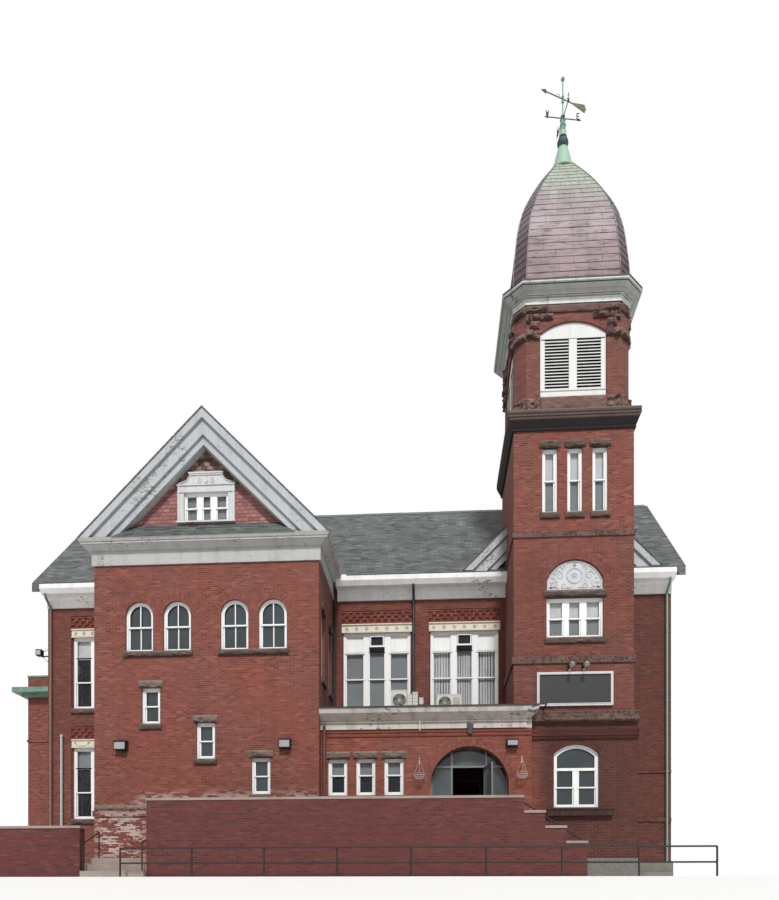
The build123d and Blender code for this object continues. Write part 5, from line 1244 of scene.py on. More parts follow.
def belfry_rock(piece):
    """Rough stone blocks at the belfry's base, imposts and lintel."""
    edge = LOUVRE_WIDTH / 2
    flat = BELFRY_FLAT
    corner = (BELFRY_HALF - flat) / math.sqrt(2)
    blocks = [
        (-flat, -edge - 0.01, *BASE_BLOCK),
        (edge + 0.01, flat, *BASE_BLOCK),
        (-edge, edge, 15.66, 16.21, 0.055, 0.05),
    ]
    for side in BOTH_SIDES:
        low, high = sorted((side * edge, side * flat))
        middle = side * (edge + flat) / 2
        blocks += [
            (low, middle - 0.01, 18.20, 18.50, 0.075, 0.11),
            (middle + 0.01, high, *IMPOST_BLOCK),
            (side * 0.66, side * (flat - 0.22), 18.80, 19.02, 0.07, 0.10),
            (side * (flat - 0.20), side * flat, 18.72, 19.02, 0.06, 0.09),
            (side * (edge + 0.02), side * (edge + 0.34), 18.52, 18.79, 0.055, 0.09),
        ]
    blocks += [(-flat, -0.86, *HEAD_BLOCK), (-0.85, 0.85, 19.04, 19.29, 0.045, 0.035), (0.86, flat, *HEAD_BLOCK)]
    cut_blocks = [(-corner, corner, *block) for block in (BASE_BLOCK, IMPOST_BLOCK, HEAD_BLOCK)]
    for quarter in range(4):
        for face, stones_on in ((quarter, blocks), (quarter + 0.5, cut_blocks)):
            piece.on(belfry_face(face))
            for x0, x1, foot, top, reach, rough in stones_on:
                piece.rock(x0, x1, foot, top, reach, 0.0, rough)


def louvre_screens(piece, dark):
    """A white frame with two leaves of blades in each belfry opening, darkness behind the gaps, and a painted shadow
    strip under the transom.
    """
    half = LOUVRE_WIDTH / 2 - 0.01
    near = 0.06
    far = near + 0.12
    post = 0.13
    stile = 0.15
    foot = LOUVRE_SILL + 0.25
    spring = LOUVRE_SPRINGING - 0.19
    pitch = (spring - foot) / BLADES
    for quarter in range(4):
        piece.on(belfry_face(quarter))
        dark.on(belfry_face(quarter))
        piece.box(-half, half, near - 0.02, far, LOUVRE_SILL + 0.005, foot - 0.03)
        piece.box(-half, half, near - 0.05, far, foot - 0.03, foot)
        piece.box(-post, post, near - 0.025, far, foot, spring)
        for side in BOTH_SIDES:
            piece.box(side * half, side * (half - stile), near - 0.01, far, foot, LOUVRE_SPRINGING - 0.02)
            ends = sorted((side * (post - 0.01), side * (half - stile + 0.01)))
            for blade in range(BLADES):
                z = foot + (blade + 0.5) * pitch
                low, high = z - 0.017, z + 0.018
                front = [(near, low), (near, high), (near + 0.10, high + 0.072), (near + 0.10, high + 0.050)]
                piece.loft([[(x, y, level) for y, level in front] for x in ends])
        arch = head_arc(0, LOUVRE_SPRINGING, half, LOUVRE_RISE - 0.01)
        piece.band(arch, [(x, spring) for x, _ in arch], near + 0.01, far)
        piece.box(-half, half, near - 0.012, near + 0.02, spring + 0.025, spring + 0.07)
        # Painted shadow: a dark strip under the transom bar.
        dark.box(-half + 0.03, half - 0.03, near - 0.016, near + 0.02, spring - 0.004, spring + 0.026)
        dark.box(-half + 0.02, half - 0.02, near + 0.125, near + 0.135, foot, spring)


def dome_half(level):
    """The half width of the dome at a height over its foot, on a smooth curve through its profile."""
    profile = DOME_PROFILE
    count = len(profile)
    for step in range(count - 1):
        low, high = profile[step], profile[step + 1]
        if level <= high[0] or step == count - 2:
            break
    before = profile[max(step - 1, 0)]
    after = profile[min(step + 2, count - 1)]
    run = high[0] - low[0]
    share = min(max((level - low[0]) / run, 0.0), 1.0)
    rise_low = (high[1] - before[1]) / (high[0] - before[0]) * run if step else 0.0
    rise_high = (after[1] - low[1]) / (after[0] - low[0]) * run
    return (
        (2 * share**3 - 3 * share**2 + 1) * low[1]
        + (share**3 - 2 * share**2 + share) * rise_low
        + (-2 * share**3 + 3 * share**2) * high[1]
        + (share**3 - share**2) * rise_high
    )


def dome_levels():
    """Heights over the dome's foot where its courses start, at equal distances along its curve."""
    steps = 400
    tall = DOME_PROFILE[-1][0]
    lengths = [0.0]
    spots = [(dome_half(tall * step / steps), tall * step / steps) for step in range(steps + 1)]
    for first, second in zip(spots, spots[1:]):
        lengths.append(lengths[-1] + math.dist(first, second))
    found = []
    for course in range(DOME_COURSES + 1):
        goal = lengths[-1] * course / DOME_COURSES
        step = max(number for number, length in enumerate(lengths) if length <= goal + 1e-9)
        found.append(spots[step][1])
    return found


DOME_COURSES = 23
DOME_LAP = 0.016
DOME_SEAM = 0.0045
DOME_SLICES = 6


def octagon(half, flat):
    """The corners of the dome's plan: four long sides and four cut corners."""
    found = []
    for quarter in range(4):
        turn = Matrix.Rotation(math.radians(90 * quarter), 3, "Z")
        found += [turn @ Vector((-flat, -half, 0)), turn @ Vector((flat, -half, 0))]
    return found


def on_dome(quarter, level, share, lap):
    """A point on a long side of the dome, at a share of the way from its middle to its edge."""
    half = dome_half(level)
    turn = Matrix.Rotation(math.radians(90 * quarter), 4, "Z")
    return turn @ Vector((share * half * DOME_FLAT, -half - lap, CROWN_TOP + level))


def dome_courses(piece, seams):
    """The dome's copper sheets: lapped courses, staggered upright seams and ribs on the hips."""
    levels = dome_levels()
    courses = list(enumerate(zip(levels, levels[1:])))
    piece.on(TOWER_AXIS)
    seams.on(TOWER_AXIS)

    def outline_at(level, lap, seed):
        half = dome_half(level)
        ring = []
        corners = octagon(half, half * DOME_FLAT)
        for corner, a in enumerate(corners):
            b = corners[(corner + 1) % 8]
            count = 1 if corner % 2 else DOME_SLICES
            for step in range(count):
                point = a + (b - a) * (step / count)
                wave = 0.006 * noise.noise(Vector((point.x * 1.7, point.y * 1.7, seed * 3.1)))
                ring.append(point * (1 + (lap + wave) / half) + UP * (CROWN_TOP + level))
        return ring

    rings = []
    for course, (foot, top) in courses:
        rings.append(outline_at(foot, -0.004, course))
        rings.append(outline_at(foot, DOME_LAP - 0.004, course))
        rings.append(outline_at(top, -0.004, course + 0.5))
    piece.loft(rings)
    for quarter in range(4):
        for course, (foot, top) in courses:
            panels = 3 if dome_half(foot) > 1.0 else 2
            shift = 0.5 * (course % 2)
            for seam in range(panels + 1):
                share = (seam + shift + 0.16 * (rng.random() - 0.5)) / panels
                if 0.06 < share < 0.94:
                    ends = (foot, DOME_LAP), (top, 0.002)
                    seams.tube([on_dome(quarter, level, 2 * share - 1, lap) for level, lap in ends], DOME_SEAM, 5)
        for side in BOTH_SIDES:
            seams.tube([on_dome(quarter, level, side, 0.004) for level in levels], 0.022, 6)
    cap = ((DOME_PROFILE[-1][1] * 0.97, 0.0), (0.30, 0.035), (0.22, 0.06))
    piece.loft([level_ring(0, 0, DOME_TOP + lift, radius) for radius, lift in cap])


# The belfry's blocks, which go round its corners: foot, top, how far they stand out and how rough they are
BASE_BLOCK = (15.65, 16.18, 0.085, 0.11)
IMPOST_BLOCK = (18.16, 18.44, 0.075, 0.11)
HEAD_BLOCK = (19.03, 19.29, 0.055, 0.085)
BLADES = 16
BELT_BLOCKS = 7
# The finial's cone: radius and height over the dome. Its beads: level, radius and thickness.
FINIAL_SKIN = ((0.42, -0.05), (0.40, 0.0), (0.33, 0.26), (0.26, 0.54), (0.18, 0.84), (0.15, 0.875))
FINIAL_BEADS = (
    (DOME_TOP - 0.03, 0.42, 0.022),
    (DOME_TOP + 0.85 - 0.03, 0.17, 0.018),
    (DOME_TOP + 0.85 + 0.41, 0.125, 0.024),
    (FINIAL_TOP - 0.22, 0.10, 0.016),
    (FINIAL_TOP - 0.01, 0.085, 0.02),
)
# Left, right, foot and top of the sign; the same of the wall lamps, with the wall's face
SIGN = (3.47, 5.98, 5.81, 6.94)
WALL_LAMPS = ((-10.69, -10.29, 4.38, 4.68, 0), (-5.09, -4.72, 4.38, 4.68, 0), (2.44, 2.80, 4.42, 4.65, 0.35))
# Left, right and top of the cooling units, with the middle and radius of the fan
COOLING_UNITS = (
    (-1.50, -0.93, 6.78, (-1.19, 6.41, 0.24)),
    (-0.91, -0.74, 6.62, None),
    (-0.72, -0.54, 6.70, None),
    (0.14, 0.99, 6.60, (0.42, 6.30, 0.225)),
)


# The crown's dark lines, thin dark hoops that paint the shadow lines of its mouldings: reach, foot, top and how far
# they stand out. Its rounded beads: reach, level, radius.
CROWN_SHADOW_LINES = ((0.08, 19.30, 19.325, 0.006), (0.30, 19.546, 19.562, 0.004), (0.86, 19.74, 19.765, 0.006))
CROWN_BEADS = ((0.08, 19.49, 0.03), (0.30, 19.585, 0.022), (0.52, 19.64, 0.016), (1.0, 19.79, 0.02))


def crown_skirt(skirt, drip_and_shadow_lines, beads):
    """The pale flashing from the crown's edge up to the dome's foot, its dark metal edge where the rain runs off, and
    the crown's dark lines, which are painted shadow lines.
    """

    def rings(*rows):
        return [[point + UP * level for point in octagon(half, half - cut)] for half, cut, level in rows]

    def hoop(inner, outer, cut, low, high):
        drip_and_shadow_lines.loft(rings((inner, cut, low), (outer, cut, low), (outer, cut, high), (inner, cut, high)), closed=True)

    for piece in (beads, skirt, drip_and_shadow_lines):
        piece.on(TOWER_AXIS)
    edge = CROWN_HALF
    flashing = (
        (edge - 0.012, CROWN_CHAMFER, CROWN_TOP - 0.005),
        (edge - 0.012, CROWN_CHAMFER, CROWN_TOP + 0.008),
        (edge - 0.10, CROWN_CHAMFER, CROWN_TOP + 0.06),
        (1.955, 0.395, CROWN_TOP + 0.17),
        (1.94, 0.39, CROWN_TOP + 0.20),
        (1.90, 0.38, CROWN_TOP + 0.20),
    )
    skirt.loft(rings(*flashing))
    hoop(edge - 0.05, edge + 0.012, CROWN_CHAMFER, CROWN_TOP - 0.035, CROWN_TOP + 0.012)
    # Painted shadow lines: thin dark hoops under the crown's mouldings.
    for reach, low, high, out in CROWN_SHADOW_LINES:
        half = BELFRY_HALF + reach * (CROWN_HALF - BELFRY_HALF) + out
        hoop(half - 0.04, half, 0.36 + reach * 0.22, low, high)
    for reach, level, radius in CROWN_BEADS:
        half = BELFRY_HALF + reach * (CROWN_HALF - BELFRY_HALF)
        beads.tube(rings((half, 0.36 + reach * 0.22, level))[0], radius, 6, closed=True)


def finial_rings(piece):
    """The finial's sheet cone, and the beads on it and on the post."""
    piece.on(TOWER_AXIS)
    piece.loft([level_ring(0, 0, DOME_TOP + lift, radius) for radius, lift in FINIAL_SKIN])
    for level, radius, thick in FINIAL_BEADS:
        piece.tube(level_ring(0, 0, level, radius), thick, 6, closed=True)


def letter(piece, strokes, size, thick=0.012):
    """A flat letter from straight strokes, upright on the present wall."""
    for x0, z0, x1, z1 in strokes:
        ahead = Vector((x1 - x0, 0, z1 - z0)) * size
        side = Vector((-ahead.z, 0, ahead.x)).normalized() * 0.016
        a = Vector((x0 * size, 0, z0 * size))
        b = a + ahead
        corners = [a - side, b - side, b + side, a + side]
        piece.prism([(p.x, p.z) for p in corners], -thick / 2, thick / 2)


# Strokes of the letters on the fixed arms, for the arms at the back, left, front and right
LETTERS = (
    ((0, -0.5, 0, 0.5), (0.5, -0.5, 0.5, 0.5), (0, 0.5, 0.5, -0.5)),
    ((0, 0.5, 0.12, -0.5), (0.12, -0.5, 0.25, 0.2), (0.25, 0.2, 0.38, -0.5), (0.38, -0.5, 0.5, 0.5)),
    ((0, -0.5, 0.5, -0.5), (0.5, -0.5, 0.5, 0), (0.5, 0, 0, 0), (0, 0, 0, 0.5), (0, 0.5, 0.5, 0.5)),
    ((0, -0.5, 0, 0.5), (0, 0.5, 0.5, 0.5), (0, 0, 0.4, 0), (0, -0.5, 0.5, -0.5)),
)


def compass_letters(piece):
    """A letter over the end of each fixed arm, with a small ball at the end."""
    for quarter, strokes in enumerate(LETTERS):
        turn = math.radians(ARM_TURN + 90 * (quarter + 1))
        lean = math.radians(ARM_TURN if quarter % 2 else ARM_TURN + 90)
        place = wall(*polar(TOWER_CENTRE, TOWER_MIDDLE, ARM_REACH - 0.10, turn))
        place = place @ Matrix.Translation((0, 0, ARM_LEVEL)) @ Matrix.Rotation(lean, 4, "Z")
        piece.on(place)
        piece.tube([(0, 0, 0.01), (0, 0, 0.06)], 0.010, 5)
        piece.tube([(-0.02, 0, 0), (0.02, 0, 0)], 0.032, 6)
        piece.on(place @ Matrix.Translation((-0.05, 0, 0.14)))
        letter(piece, strokes, 0.2)


def vane_trim(piece):
    """Feather ribs on the vane's tail, a bar along it and scrolls under its rod."""
    piece.on(TOWER_AXIS @ Matrix.Translation((0, 0, VANE_LEVEL)) @ Matrix.Rotation(math.radians(VANE_TURN), 4, "Z"))
    for rib in range(5):
        x = 0.50 + 0.09 * rib
        for side in BOTH_SIDES:
            piece.tube([(x, 0, 0.0), (x + 0.09, 0, side * (0.035 + 0.022 * rib))], 0.010, 5)
    piece.tube([(0.42, 0, 0), (1.0, 0, 0)], 0.02, 6)
    for side in BOTH_SIDES:
        piece.tube([(x, 0, z + 0.015) for x, z in arc(0.20 * side, 0, 0.085, 0, 180, 8)], 0.010, 5)


def cornice_drips(piece):
    """The thin dark metal edges on top of the cornices and gutters."""
    thin = 0.006
    right = PORCH_RIGHT + PORCH_REACH
    front = PORCH_FRONT - PORCH_REACH
    low, high = PORCH_TOP - 0.03, PORCH_TOP + 0.004
    piece.box(PAVILION_RIGHT + 0.01, right + thin, front - thin, front + 0.03, low, high)
    piece.box(right - 0.03, right + thin, front, MAIN_FRONT - 0.01, low, high)
    gutters = (
        (MAIN_LEFT, PAVILION_LEFT - 0.57),
        (PAVILION_RIGHT + 0.57, TOWER_CENTRE - TOWER_HALF),
        (TOWER_RIGHT, MAIN_RIGHT),
    )
    edge = MAIN_FRONT - EAVES_DEPTH
    for x0, x1 in gutters:
        piece.box(x0, x1, edge - thin, edge + 0.02, EAVES_TOP - 0.085, EAVES_TOP - 0.045)


def downpipe_elbows(piece):
    """Swan-necks from the gutters back to the tops of the downpipes, and collars on the pipes."""
    radius = 0.045
    middle = MAIN_FRONT - 0.10
    gutter = MAIN_FRONT - 0.50
    neck = (
        (gutter, 11.02),
        (gutter, 10.94),
        (gutter + 0.04, 10.88),
        (middle - 0.05, 10.66),
        (middle, 10.58),
        (middle, 10.48),
    )
    recess_pipe = PAVILION_RIGHT + 0.07
    porch_pipe = PAVILION_RIGHT + 0.14, PORCH_FRONT - 0.10
    for x in (recess_pipe, -0.725, 8.60, -14.81):
        piece.tube([(x, y, z) for y, z in neck], radius + 0.003, 8)
    for x, y, levels in (
        (recess_pipe, middle, (6.0, 7.6, 9.2, 10.4)),
        (-0.725, middle, (6.0, 7.6, 9.2, 10.4)),
        (8.60, middle, (1.4, 4.0, 6.6, 9.2)),
        (-14.81, middle, (1.4, 4.0, 6.6, 9.2)),
        (-14.38, middle, (1.0, 2.6, 4.2, 5.6)),
        (*porch_pipe, (1.5, 2.7, 3.9, 4.95)),
    ):
        for level in levels:
            piece.tube([(x, y, level), (x, y, level + 0.07)], radius + 0.012, 8)
    x, y = porch_pipe
    piece.tube([(x, y, 5.03), (x, y - 0.02, 5.10), (x, y - 0.06, 5.16)], radius, 8)


def tower_mouldings(piece):
    """Thin brick strings on the porch and round the tower's foot."""
    front = TOWER_FRONT - 0.13
    right = TOWER_RIGHT + 0.13
    for z in (4.80, 4.94):
        top = z + 0.055
        piece.box(PAVILION_RIGHT + 0.2, PORCH_RIGHT + 0.02, PORCH_FRONT - 0.03, PORCH_FRONT + 0.02, z, top)
        piece.box(PORCH_RIGHT, right, front - 0.03, front + 0.02, z, top)
        piece.box(right - 0.02, right + 0.03, front, front + 3.9, z, top)


def tower_rolls(piece):
    """Rounded stone rolls over the tower's foot and under its segmental window."""
    front = TOWER_FRONT - 0.15
    left = PORCH_RIGHT + 0.44
    right = TOWER_RIGHT + 0.15 - 0.02
    for z, radius, out in ((5.345, 0.050, 0.0), (5.585, 0.035, 0.015)):
        piece.tube([(left, front + out, z), (right, front + out, z)], radius, 8)
    face = TOWER_FRONT - 0.13
    left = SEGMENTAL[0].centre - 1.005
    right = SEGMENTAL[0].centre + 1.225
    piece.tube([(left, face - 0.02, 2.36), (right, face - 0.02, 2.36)], 0.055, 8)
    piece.box(left + 0.02, right - 0.02, face - 0.045, face + 0.02, 2.14, 2.30)


def belt_stones(piece):
    """The rough stone course low on the pavilion's front."""
    pitch = (PAVILION_RIGHT - PAVILION_LEFT - 0.02) / BELT_BLOCKS
    for block in range(BELT_BLOCKS):
        x = PAVILION_LEFT + 0.01 + block * pitch
        piece.rock(x, x + pitch - 0.008, 2.36, 2.53, 0.05, 0.0, 0.04)


def granite_blocks(piece):
    """Split-faced granite blocks on the plinth, in two courses with broken joints."""
    side = (MAIN_REAR - MAIN_FRONT) / 2
    runs = (
        (FRONT, PAVILION_LEFT - PLINTH_REACH, PAVILION_RIGHT + PLINTH_REACH),
        (MAIN, MAIN_LEFT - PLINTH_REACH, PAVILION_LEFT - PLINTH_REACH),
        (MAIN, TOWER_RIGHT + 0.2, MAIN_RIGHT + PLINTH_REACH),
        (RIGHT_END, -side, side),
        (REAR, -MAIN_RIGHT, -MAIN_LEFT),
        (PAVILION_SIDE_LEFT, -MAIN_FRONT / 2, MAIN_FRONT / 2),
    )
    split = 0.37
    for place, start, stop in runs:
        piece.on(place)
        for low, high, first_share in ((0.01, split - 0.006, 1.0), (split + 0.006, PLINTH_TOP - 0.02, 0.5)):
            x = start
            share = first_share
            while x < stop - 0.05:
                end = min(x + (0.62 + 0.5 * rng.random()) * share, stop)
                share = 1.0
                if stop - end < 0.3:
                    end = stop
                piece.rock(x + 0.006, end - 0.006, low, high, PLINTH_REACH + 0.012, -PLINTH_REACH + 0.03, 0.045, 0.09)
                x = end


def ridge_caps(piece):
    """Metal caps on the ridges, with their overlaps."""
    ridges = (
        ((MAIN_LEFT - 0.2, MAIN_MIDDLE, RIDGE_TOP), (MAIN_RIGHT + 0.2, MAIN_MIDDLE, RIDGE_TOP), 14),
        (
            (PAVILION_CENTRE, PAVILION_EAVES + 0.05, EAVES_TOP + PAVILION_HALF_ROOF),
            (PAVILION_CENTRE, EAVES_FRONT + PAVILION_HALF_ROOF, EAVES_TOP + PAVILION_HALF_ROOF),
            5,
        ),
    )
    for start, end, parts in ridges:
        start, end = Vector(start), Vector(end)
        for part in range(parts):
            a = start.lerp(end, part / parts)
            b = start.lerp(end, (part + 1) / parts) + (end - start).normalized() * 0.03
            side = (b - a).normalized().cross(UP).normalized() * 0.13
            lift = 0.006 * (part % 2)
            edge = UP * (-0.115 + lift)
            rings = [[p + side + edge, p + UP * (0.035 + lift), p - side + edge, p + UP * 0.012] for p in (a, b)]
            piece.loft(rings)


def pent_shingles(piece):
    """The steep shingled skirt at the foot of the pavilion's gable, up to the attic window."""
    rise = 0.61
    half = 3.07
    courses = 5
    far = GABLE_FACE + 0.01

    def line(step):
        share = step / courses
        y = PAVILION_EAVES + share * (far - PAVILION_EAVES)
        return half - rise * share, y, EAVES_TOP - 0.01 + rise * share

    rings = []
    for step in range(courses + 1):
        x, y, z = line(step)
        left, right = PAVILION_CENTRE - (x + 0.03), PAVILION_CENTRE + (x + 0.03)
        back = z - 0.001 + 0.002 * step
        rings.append([(left, y, z), (right, y, z), (right, far + 0.01, back), (left, far + 0.01, back)])
    piece.loft(rings)
    for course in range(courses):
        x, y, z = line(course)
        piece.box(PAVILION_CENTRE - x, PAVILION_CENTRE + x, y - 0.012, y + 0.02, z - 0.004, z + 0.012)


def attic_mouldings(piece):
    """Mouldings on the attic window's surround: a crown on its flared head, a shelf and side lines."""
    piece.on(GABLE)
    opening = ATTIC[0]
    c = opening.centre
    half = opening.width / 2 + 0.23
    shoulder = opening.top + 0.28
    head = shoulder + 0.39
    near = -0.07
    far = near + 0.02
    for z0, z1, reach, out in (
        (head - 0.03, head + 0.02, 0.60, 0.05),
        (head - 0.08, head - 0.03, 0.57, 0.03),
        (shoulder - 0.03, shoulder + 0.01, half + 0.02, 0.035),
        (opening.top + 0.02, opening.top + 0.06, half, 0.03),
        (opening.sill - 0.05, opening.sill, half + 0.03, 0.06),
    ):
        piece.box(c - reach, c + reach, near - out, far, z0, z1)
    for side in BOTH_SIDES:
        piece.box(c + side * (half - 0.02), c + side * (half - 0.07), near - 0.02, far, opening.sill, shoulder - 0.03)
        inner = opening.width / 2
        piece.box(c + side * (inner + 0.01), c + side * (inner + 0.045), near - 0.02, far, opening.sill, opening.top)
        flare = (
            (half - 0.01, shoulder),
            (half - 0.09, shoulder + 0.06),
            (0.5 * half + 0.17, shoulder + 0.14),
            (0.55, head - 0.08),
        )
        piece.tube([(c + side * reach, near - 0.01, z) for reach, z in flare], 0.022, 6)
    leaf = [(c, shoulder + 0.02), (c + 0.07, shoulder + 0.12), (c, shoulder + 0.27), (c - 0.07, shoulder + 0.12)]
    piece.prism(leaf, near - 0.025, near + 0.01)
    for side in BOTH_SIDES:
        scroll = spiral(c + side * 0.24, shoulder + 0.12, 0.10, 1.1, 1.2 if side > 0 else math.pi - 1.2, side)
        piece.tube([(x, near - 0.005, z) for x, z in scroll], 0.014, 5)


def bare_sign(frame_piece, panel):
    """The tower's sign with its white frame and nothing written on it."""
    x0, x1, z0, z1 = SIGN
    near = TOWER_FRONT - 0.09
    face = 0.085
    rim = 0.022
    frame_piece.border(x0, x1, near, TOWER_FRONT, z0, z1, face)
    a, b, c, d = x0 + face, x1 - face, z0 + face, z1 - face
    for left, right, foot, top in (
        (a, b, c - rim, c),
        (a, b, d, d + rim),
        (a - rim, a, c - rim, d + rim),
        (b, b + rim, c - rim, d + rim),
    ):
        frame_piece.box(left, right, near - 0.012, near + 0.02, foot, top)
    panel.box(a - 0.005, b + 0.005, near + 0.035, near + 0.05, c - 0.005, d + 0.005)


def sign_lamps(piece, lens):
    """Two small flood lamps on bent arms over the sign."""
    arm = ((0, 7.02), (-0.10, 7.03), (-0.30, 7.08), (-0.42, 7.14), (-0.46, 7.11))
    shell = ((-0.40, 7.145), (-0.47, 7.095), (-0.50, 7.055))
    for x in (4.565, 5.035):
        for outline, radius, sides in (
            (arm, 0.014, 6),
            (((-0.012, 7.02), (0, 7.02)), 0.05, 8),
            (shell, [0.03, 0.06, 0.085], 10),
        ):
            piece.tube([(x, TOWER_FRONT + y, z) for y, z in outline], radius, sides)
        lens.tube([(x, TOWER_FRONT - 0.498, 7.058), (x, TOWER_FRONT - 0.503, 7.051)], 0.07, 10)


def lamp_details(piece, lens):
    """Hoods, lenses and back plates on the wall lamps, and the flood lamp's face and brace."""
    for x0, x1, z0, z1, face in WALL_LAMPS:
        near = face - 0.22
        out = near - 0.012
        piece.box(x0 - 0.012, x1 + 0.012, out, face, z1 - 0.035, z1 + 0.012)
        piece.box(x0 - 0.02, x1 + 0.02, face - 0.02, face, z0 - 0.03, z1 + 0.03)
        for side in (x0, x1 - 0.012):
            piece.box(side, side + 0.012, out, near + 0.02, z0, z1 - 0.03)
        piece.box(x0, x1, out, near + 0.02, z0 - 0.004, z0 + 0.014)
        lens.box(x0 + 0.02, x1 - 0.02, near - 0.008, near + 0.01, z0 + 0.02, z1 - 0.06)
        for rib in range(7):
            x = x0 + 0.035 + rib * (x1 - x0 - 0.07) / 6
            lens.box(x - 0.006, x + 0.006, out, near - 0.004, z0 + 0.022, z1 - 0.062)
    x = MAIN_LEFT - 0.40
    low = 8.84
    back = MAIN_FRONT + 0.24
    lens.box(x - 0.09, x + 0.09, MAIN_FRONT - 0.008, MAIN_FRONT + 0.01, low + 0.02, low + 0.20)
    piece.box(x - 0.115, x + 0.115, MAIN_FRONT - 0.012, back, low + 0.205, low + 0.23)
    piece.tube([(x + 0.05, back, low), (MAIN_LEFT, back, low - 0.32)], 0.012, 6)
    piece.tube([(x + 0.05, back, low + 0.2), (MAIN_LEFT, back, low + 0.32)], 0.010, 6)


def fan_grille(piece, dark, x, z, radius, front):
    """A fan's dark opening with its blades, and the wire grille over it."""
    dark.tube([(x, front - 0.004, z), (x, front + 0.012, z)], radius, 20)
    for share in (1.0, 0.8, 0.6, 0.4, 0.2):
        piece.tube(upright_ring(x, front - 0.014, z, radius * share), 0.006 if share < 1 else 0.012, 5, closed=True)
    for spoke in range(8):
        dx, dz = polar(0, 0, radius, math.pi * spoke / 8)
        piece.tube([(x - dx, front - 0.016, z - dz), (x + dx, front - 0.016, z + dz)], 0.004, 4)
    for blade in range(3):
        turn = 2 * math.pi * blade / 3 + 0.4
        ends = polar(x, z, 0.12, turn), polar(x, z, 0.9 * radius, turn + 0.5)
        dark.tube([(px, front - 0.006, pz) for px, pz in ends], [0.02, 0.035], 5)


def cooling_units(piece, dark):
    """The cooling units on the porch roof: cases with feet, a fan behind its grille, and fins."""
    front = 1.80
    back = 2.14
    foot = PORCH_ROOF + 0.30
    for x0, x1, top, fan in COOLING_UNITS:
        piece.box(x0, x1, front, back, foot, top)
        piece.box(x0 - 0.008, x1 + 0.008, front - 0.01, back + 0.01, top - 0.03, top)
        for x in (x0, x1 - 0.05):
            piece.box(x, x + 0.05, front + 0.02, front + 0.07, PORCH_ROOF, foot)
            piece.box(x, x + 0.05, back - 0.07, back - 0.02, PORCH_ROOF, foot)
        if not fan:
            for fin in range(6):
                z = foot + 0.1 + fin * 0.12
                if z < top - 0.08:
                    piece.box(x0 + 0.02, x1 - 0.02, front - 0.012, front, z, z + 0.03)
            continue
        x, _, radius = fan
        fan_grille(piece, dark, *fan, front)
        if x1 - x > radius + 0.1:
            for fin in range(6):
                z0 = 6.10 + fin * 0.07
                dark.box(x + radius + 0.06, x1 - 0.05, front - 0.004, front + 0.01, z0, z0 + 0.02)


def roof_boxes(white, dark):
    """The dark box with a white board on the porch roof, and small boxes and pipes on the walls."""
    dark.box(2.92, 3.52, 0.98, 1.34, PORCH_ROOF, 6.33)
    dark.box(2.88, 3.56, 0.94, 1.38, 6.33, 6.36)
    white.box(2.78, 3.22, 0.93, 0.955, 5.93, 6.30)
    for x in (2.80, 3.16):
        white.box(x, x + 0.04, 0.955, 0.98, PORCH_ROOF, 6.28)
    white.on(MAIN).box(-0.52, -0.36, -0.09, 0, 6.66, 6.90)
    white.box(-0.53, -0.35, -0.10, 0, 6.895, 6.915)
    white.tube([(-0.44, -0.03, 5.7), (-0.44, -0.03, 6.66)], 0.012, 6)
    white.on(PORCH).tube([(-0.44, -0.10, 4.98), (-0.44, -0.10, 5.36), (-0.44, -0.06, 5.40)], 0.022, 8)
    dark.on(PORCH).box(1.12, 1.34, -0.07, 0.01, 5.05, 5.20)
    dark.box(1.16, 1.30, -0.10, -0.02, 4.86, 5.06)


def hanging_baskets(piece):
    """Empty wire baskets on hooks at each side of the entrance arch."""
    front = PORCH_FRONT
    y = front - 0.22
    hook = 4.06
    rim = 3.52
    radius = 0.19
    hoops = ((1.0, rim), (0.93, rim - 0.07), (0.76, rim - 0.13), (0.45, rim - 0.17))
    arm = (
        (front, hook - 0.13),
        (front - 0.05, hook - 0.02),
        (y + 0.04, hook + 0.02),
        (y, hook),
        (y + 0.01, hook - 0.035),
    )
    for x in (-0.45, 2.93):
        piece.tube([(x, *point) for point in arm], 0.010, 6)
        piece.box(x - 0.015, x + 0.015, front - 0.012, front, hook - 0.18, hook + 0.03)
        for wire in range(3):
            end = polar(x, y, radius, 2 * math.pi * wire / 3 + 0.5)
            piece.tube([(x, y, hook - 0.04), (*end, rim)], 0.004, 4)
        for share, level in hoops:
            piece.tube(level_ring(x, y, level, radius * share), 0.005, 5, closed=True)
        for rib in range(10):
            turn = 2 * math.pi * rib / 10
            path = [(*polar(x, y, radius * share, turn), level) for share, level in (*hoops, (0.02, rim - 0.185))]
            piece.tube(path, 0.004, 4)


# Colours
RED = ((0.1, 0.026, 0.019), (0.2, 0.046, 0.031), (0.29, 0.09, 0.062))
ORANGE = ((0.12, 0.028, 0.018), (0.225, 0.052, 0.032), (0.32, 0.1, 0.066))
MAROON = ((0.055, 0.014, 0.013), (0.115, 0.022, 0.02), (0.18, 0.05, 0.042))
MORTAR = (0.25, 0.145, 0.115)
PALE_MORTAR = (0.19, 0.085, 0.072)
DULL_MORTAR = (0.14, 0.06, 0.052)
TERRACE = ((0.06, 0.015, 0.014), (0.11, 0.023, 0.02), (0.15, 0.04, 0.034))

FOOT_TINTS = ((TOWER_FOOT, (0.36, 0.32, 0.3)), (TOWER_SHAFT, (0.78, 0.79, 0.79)))
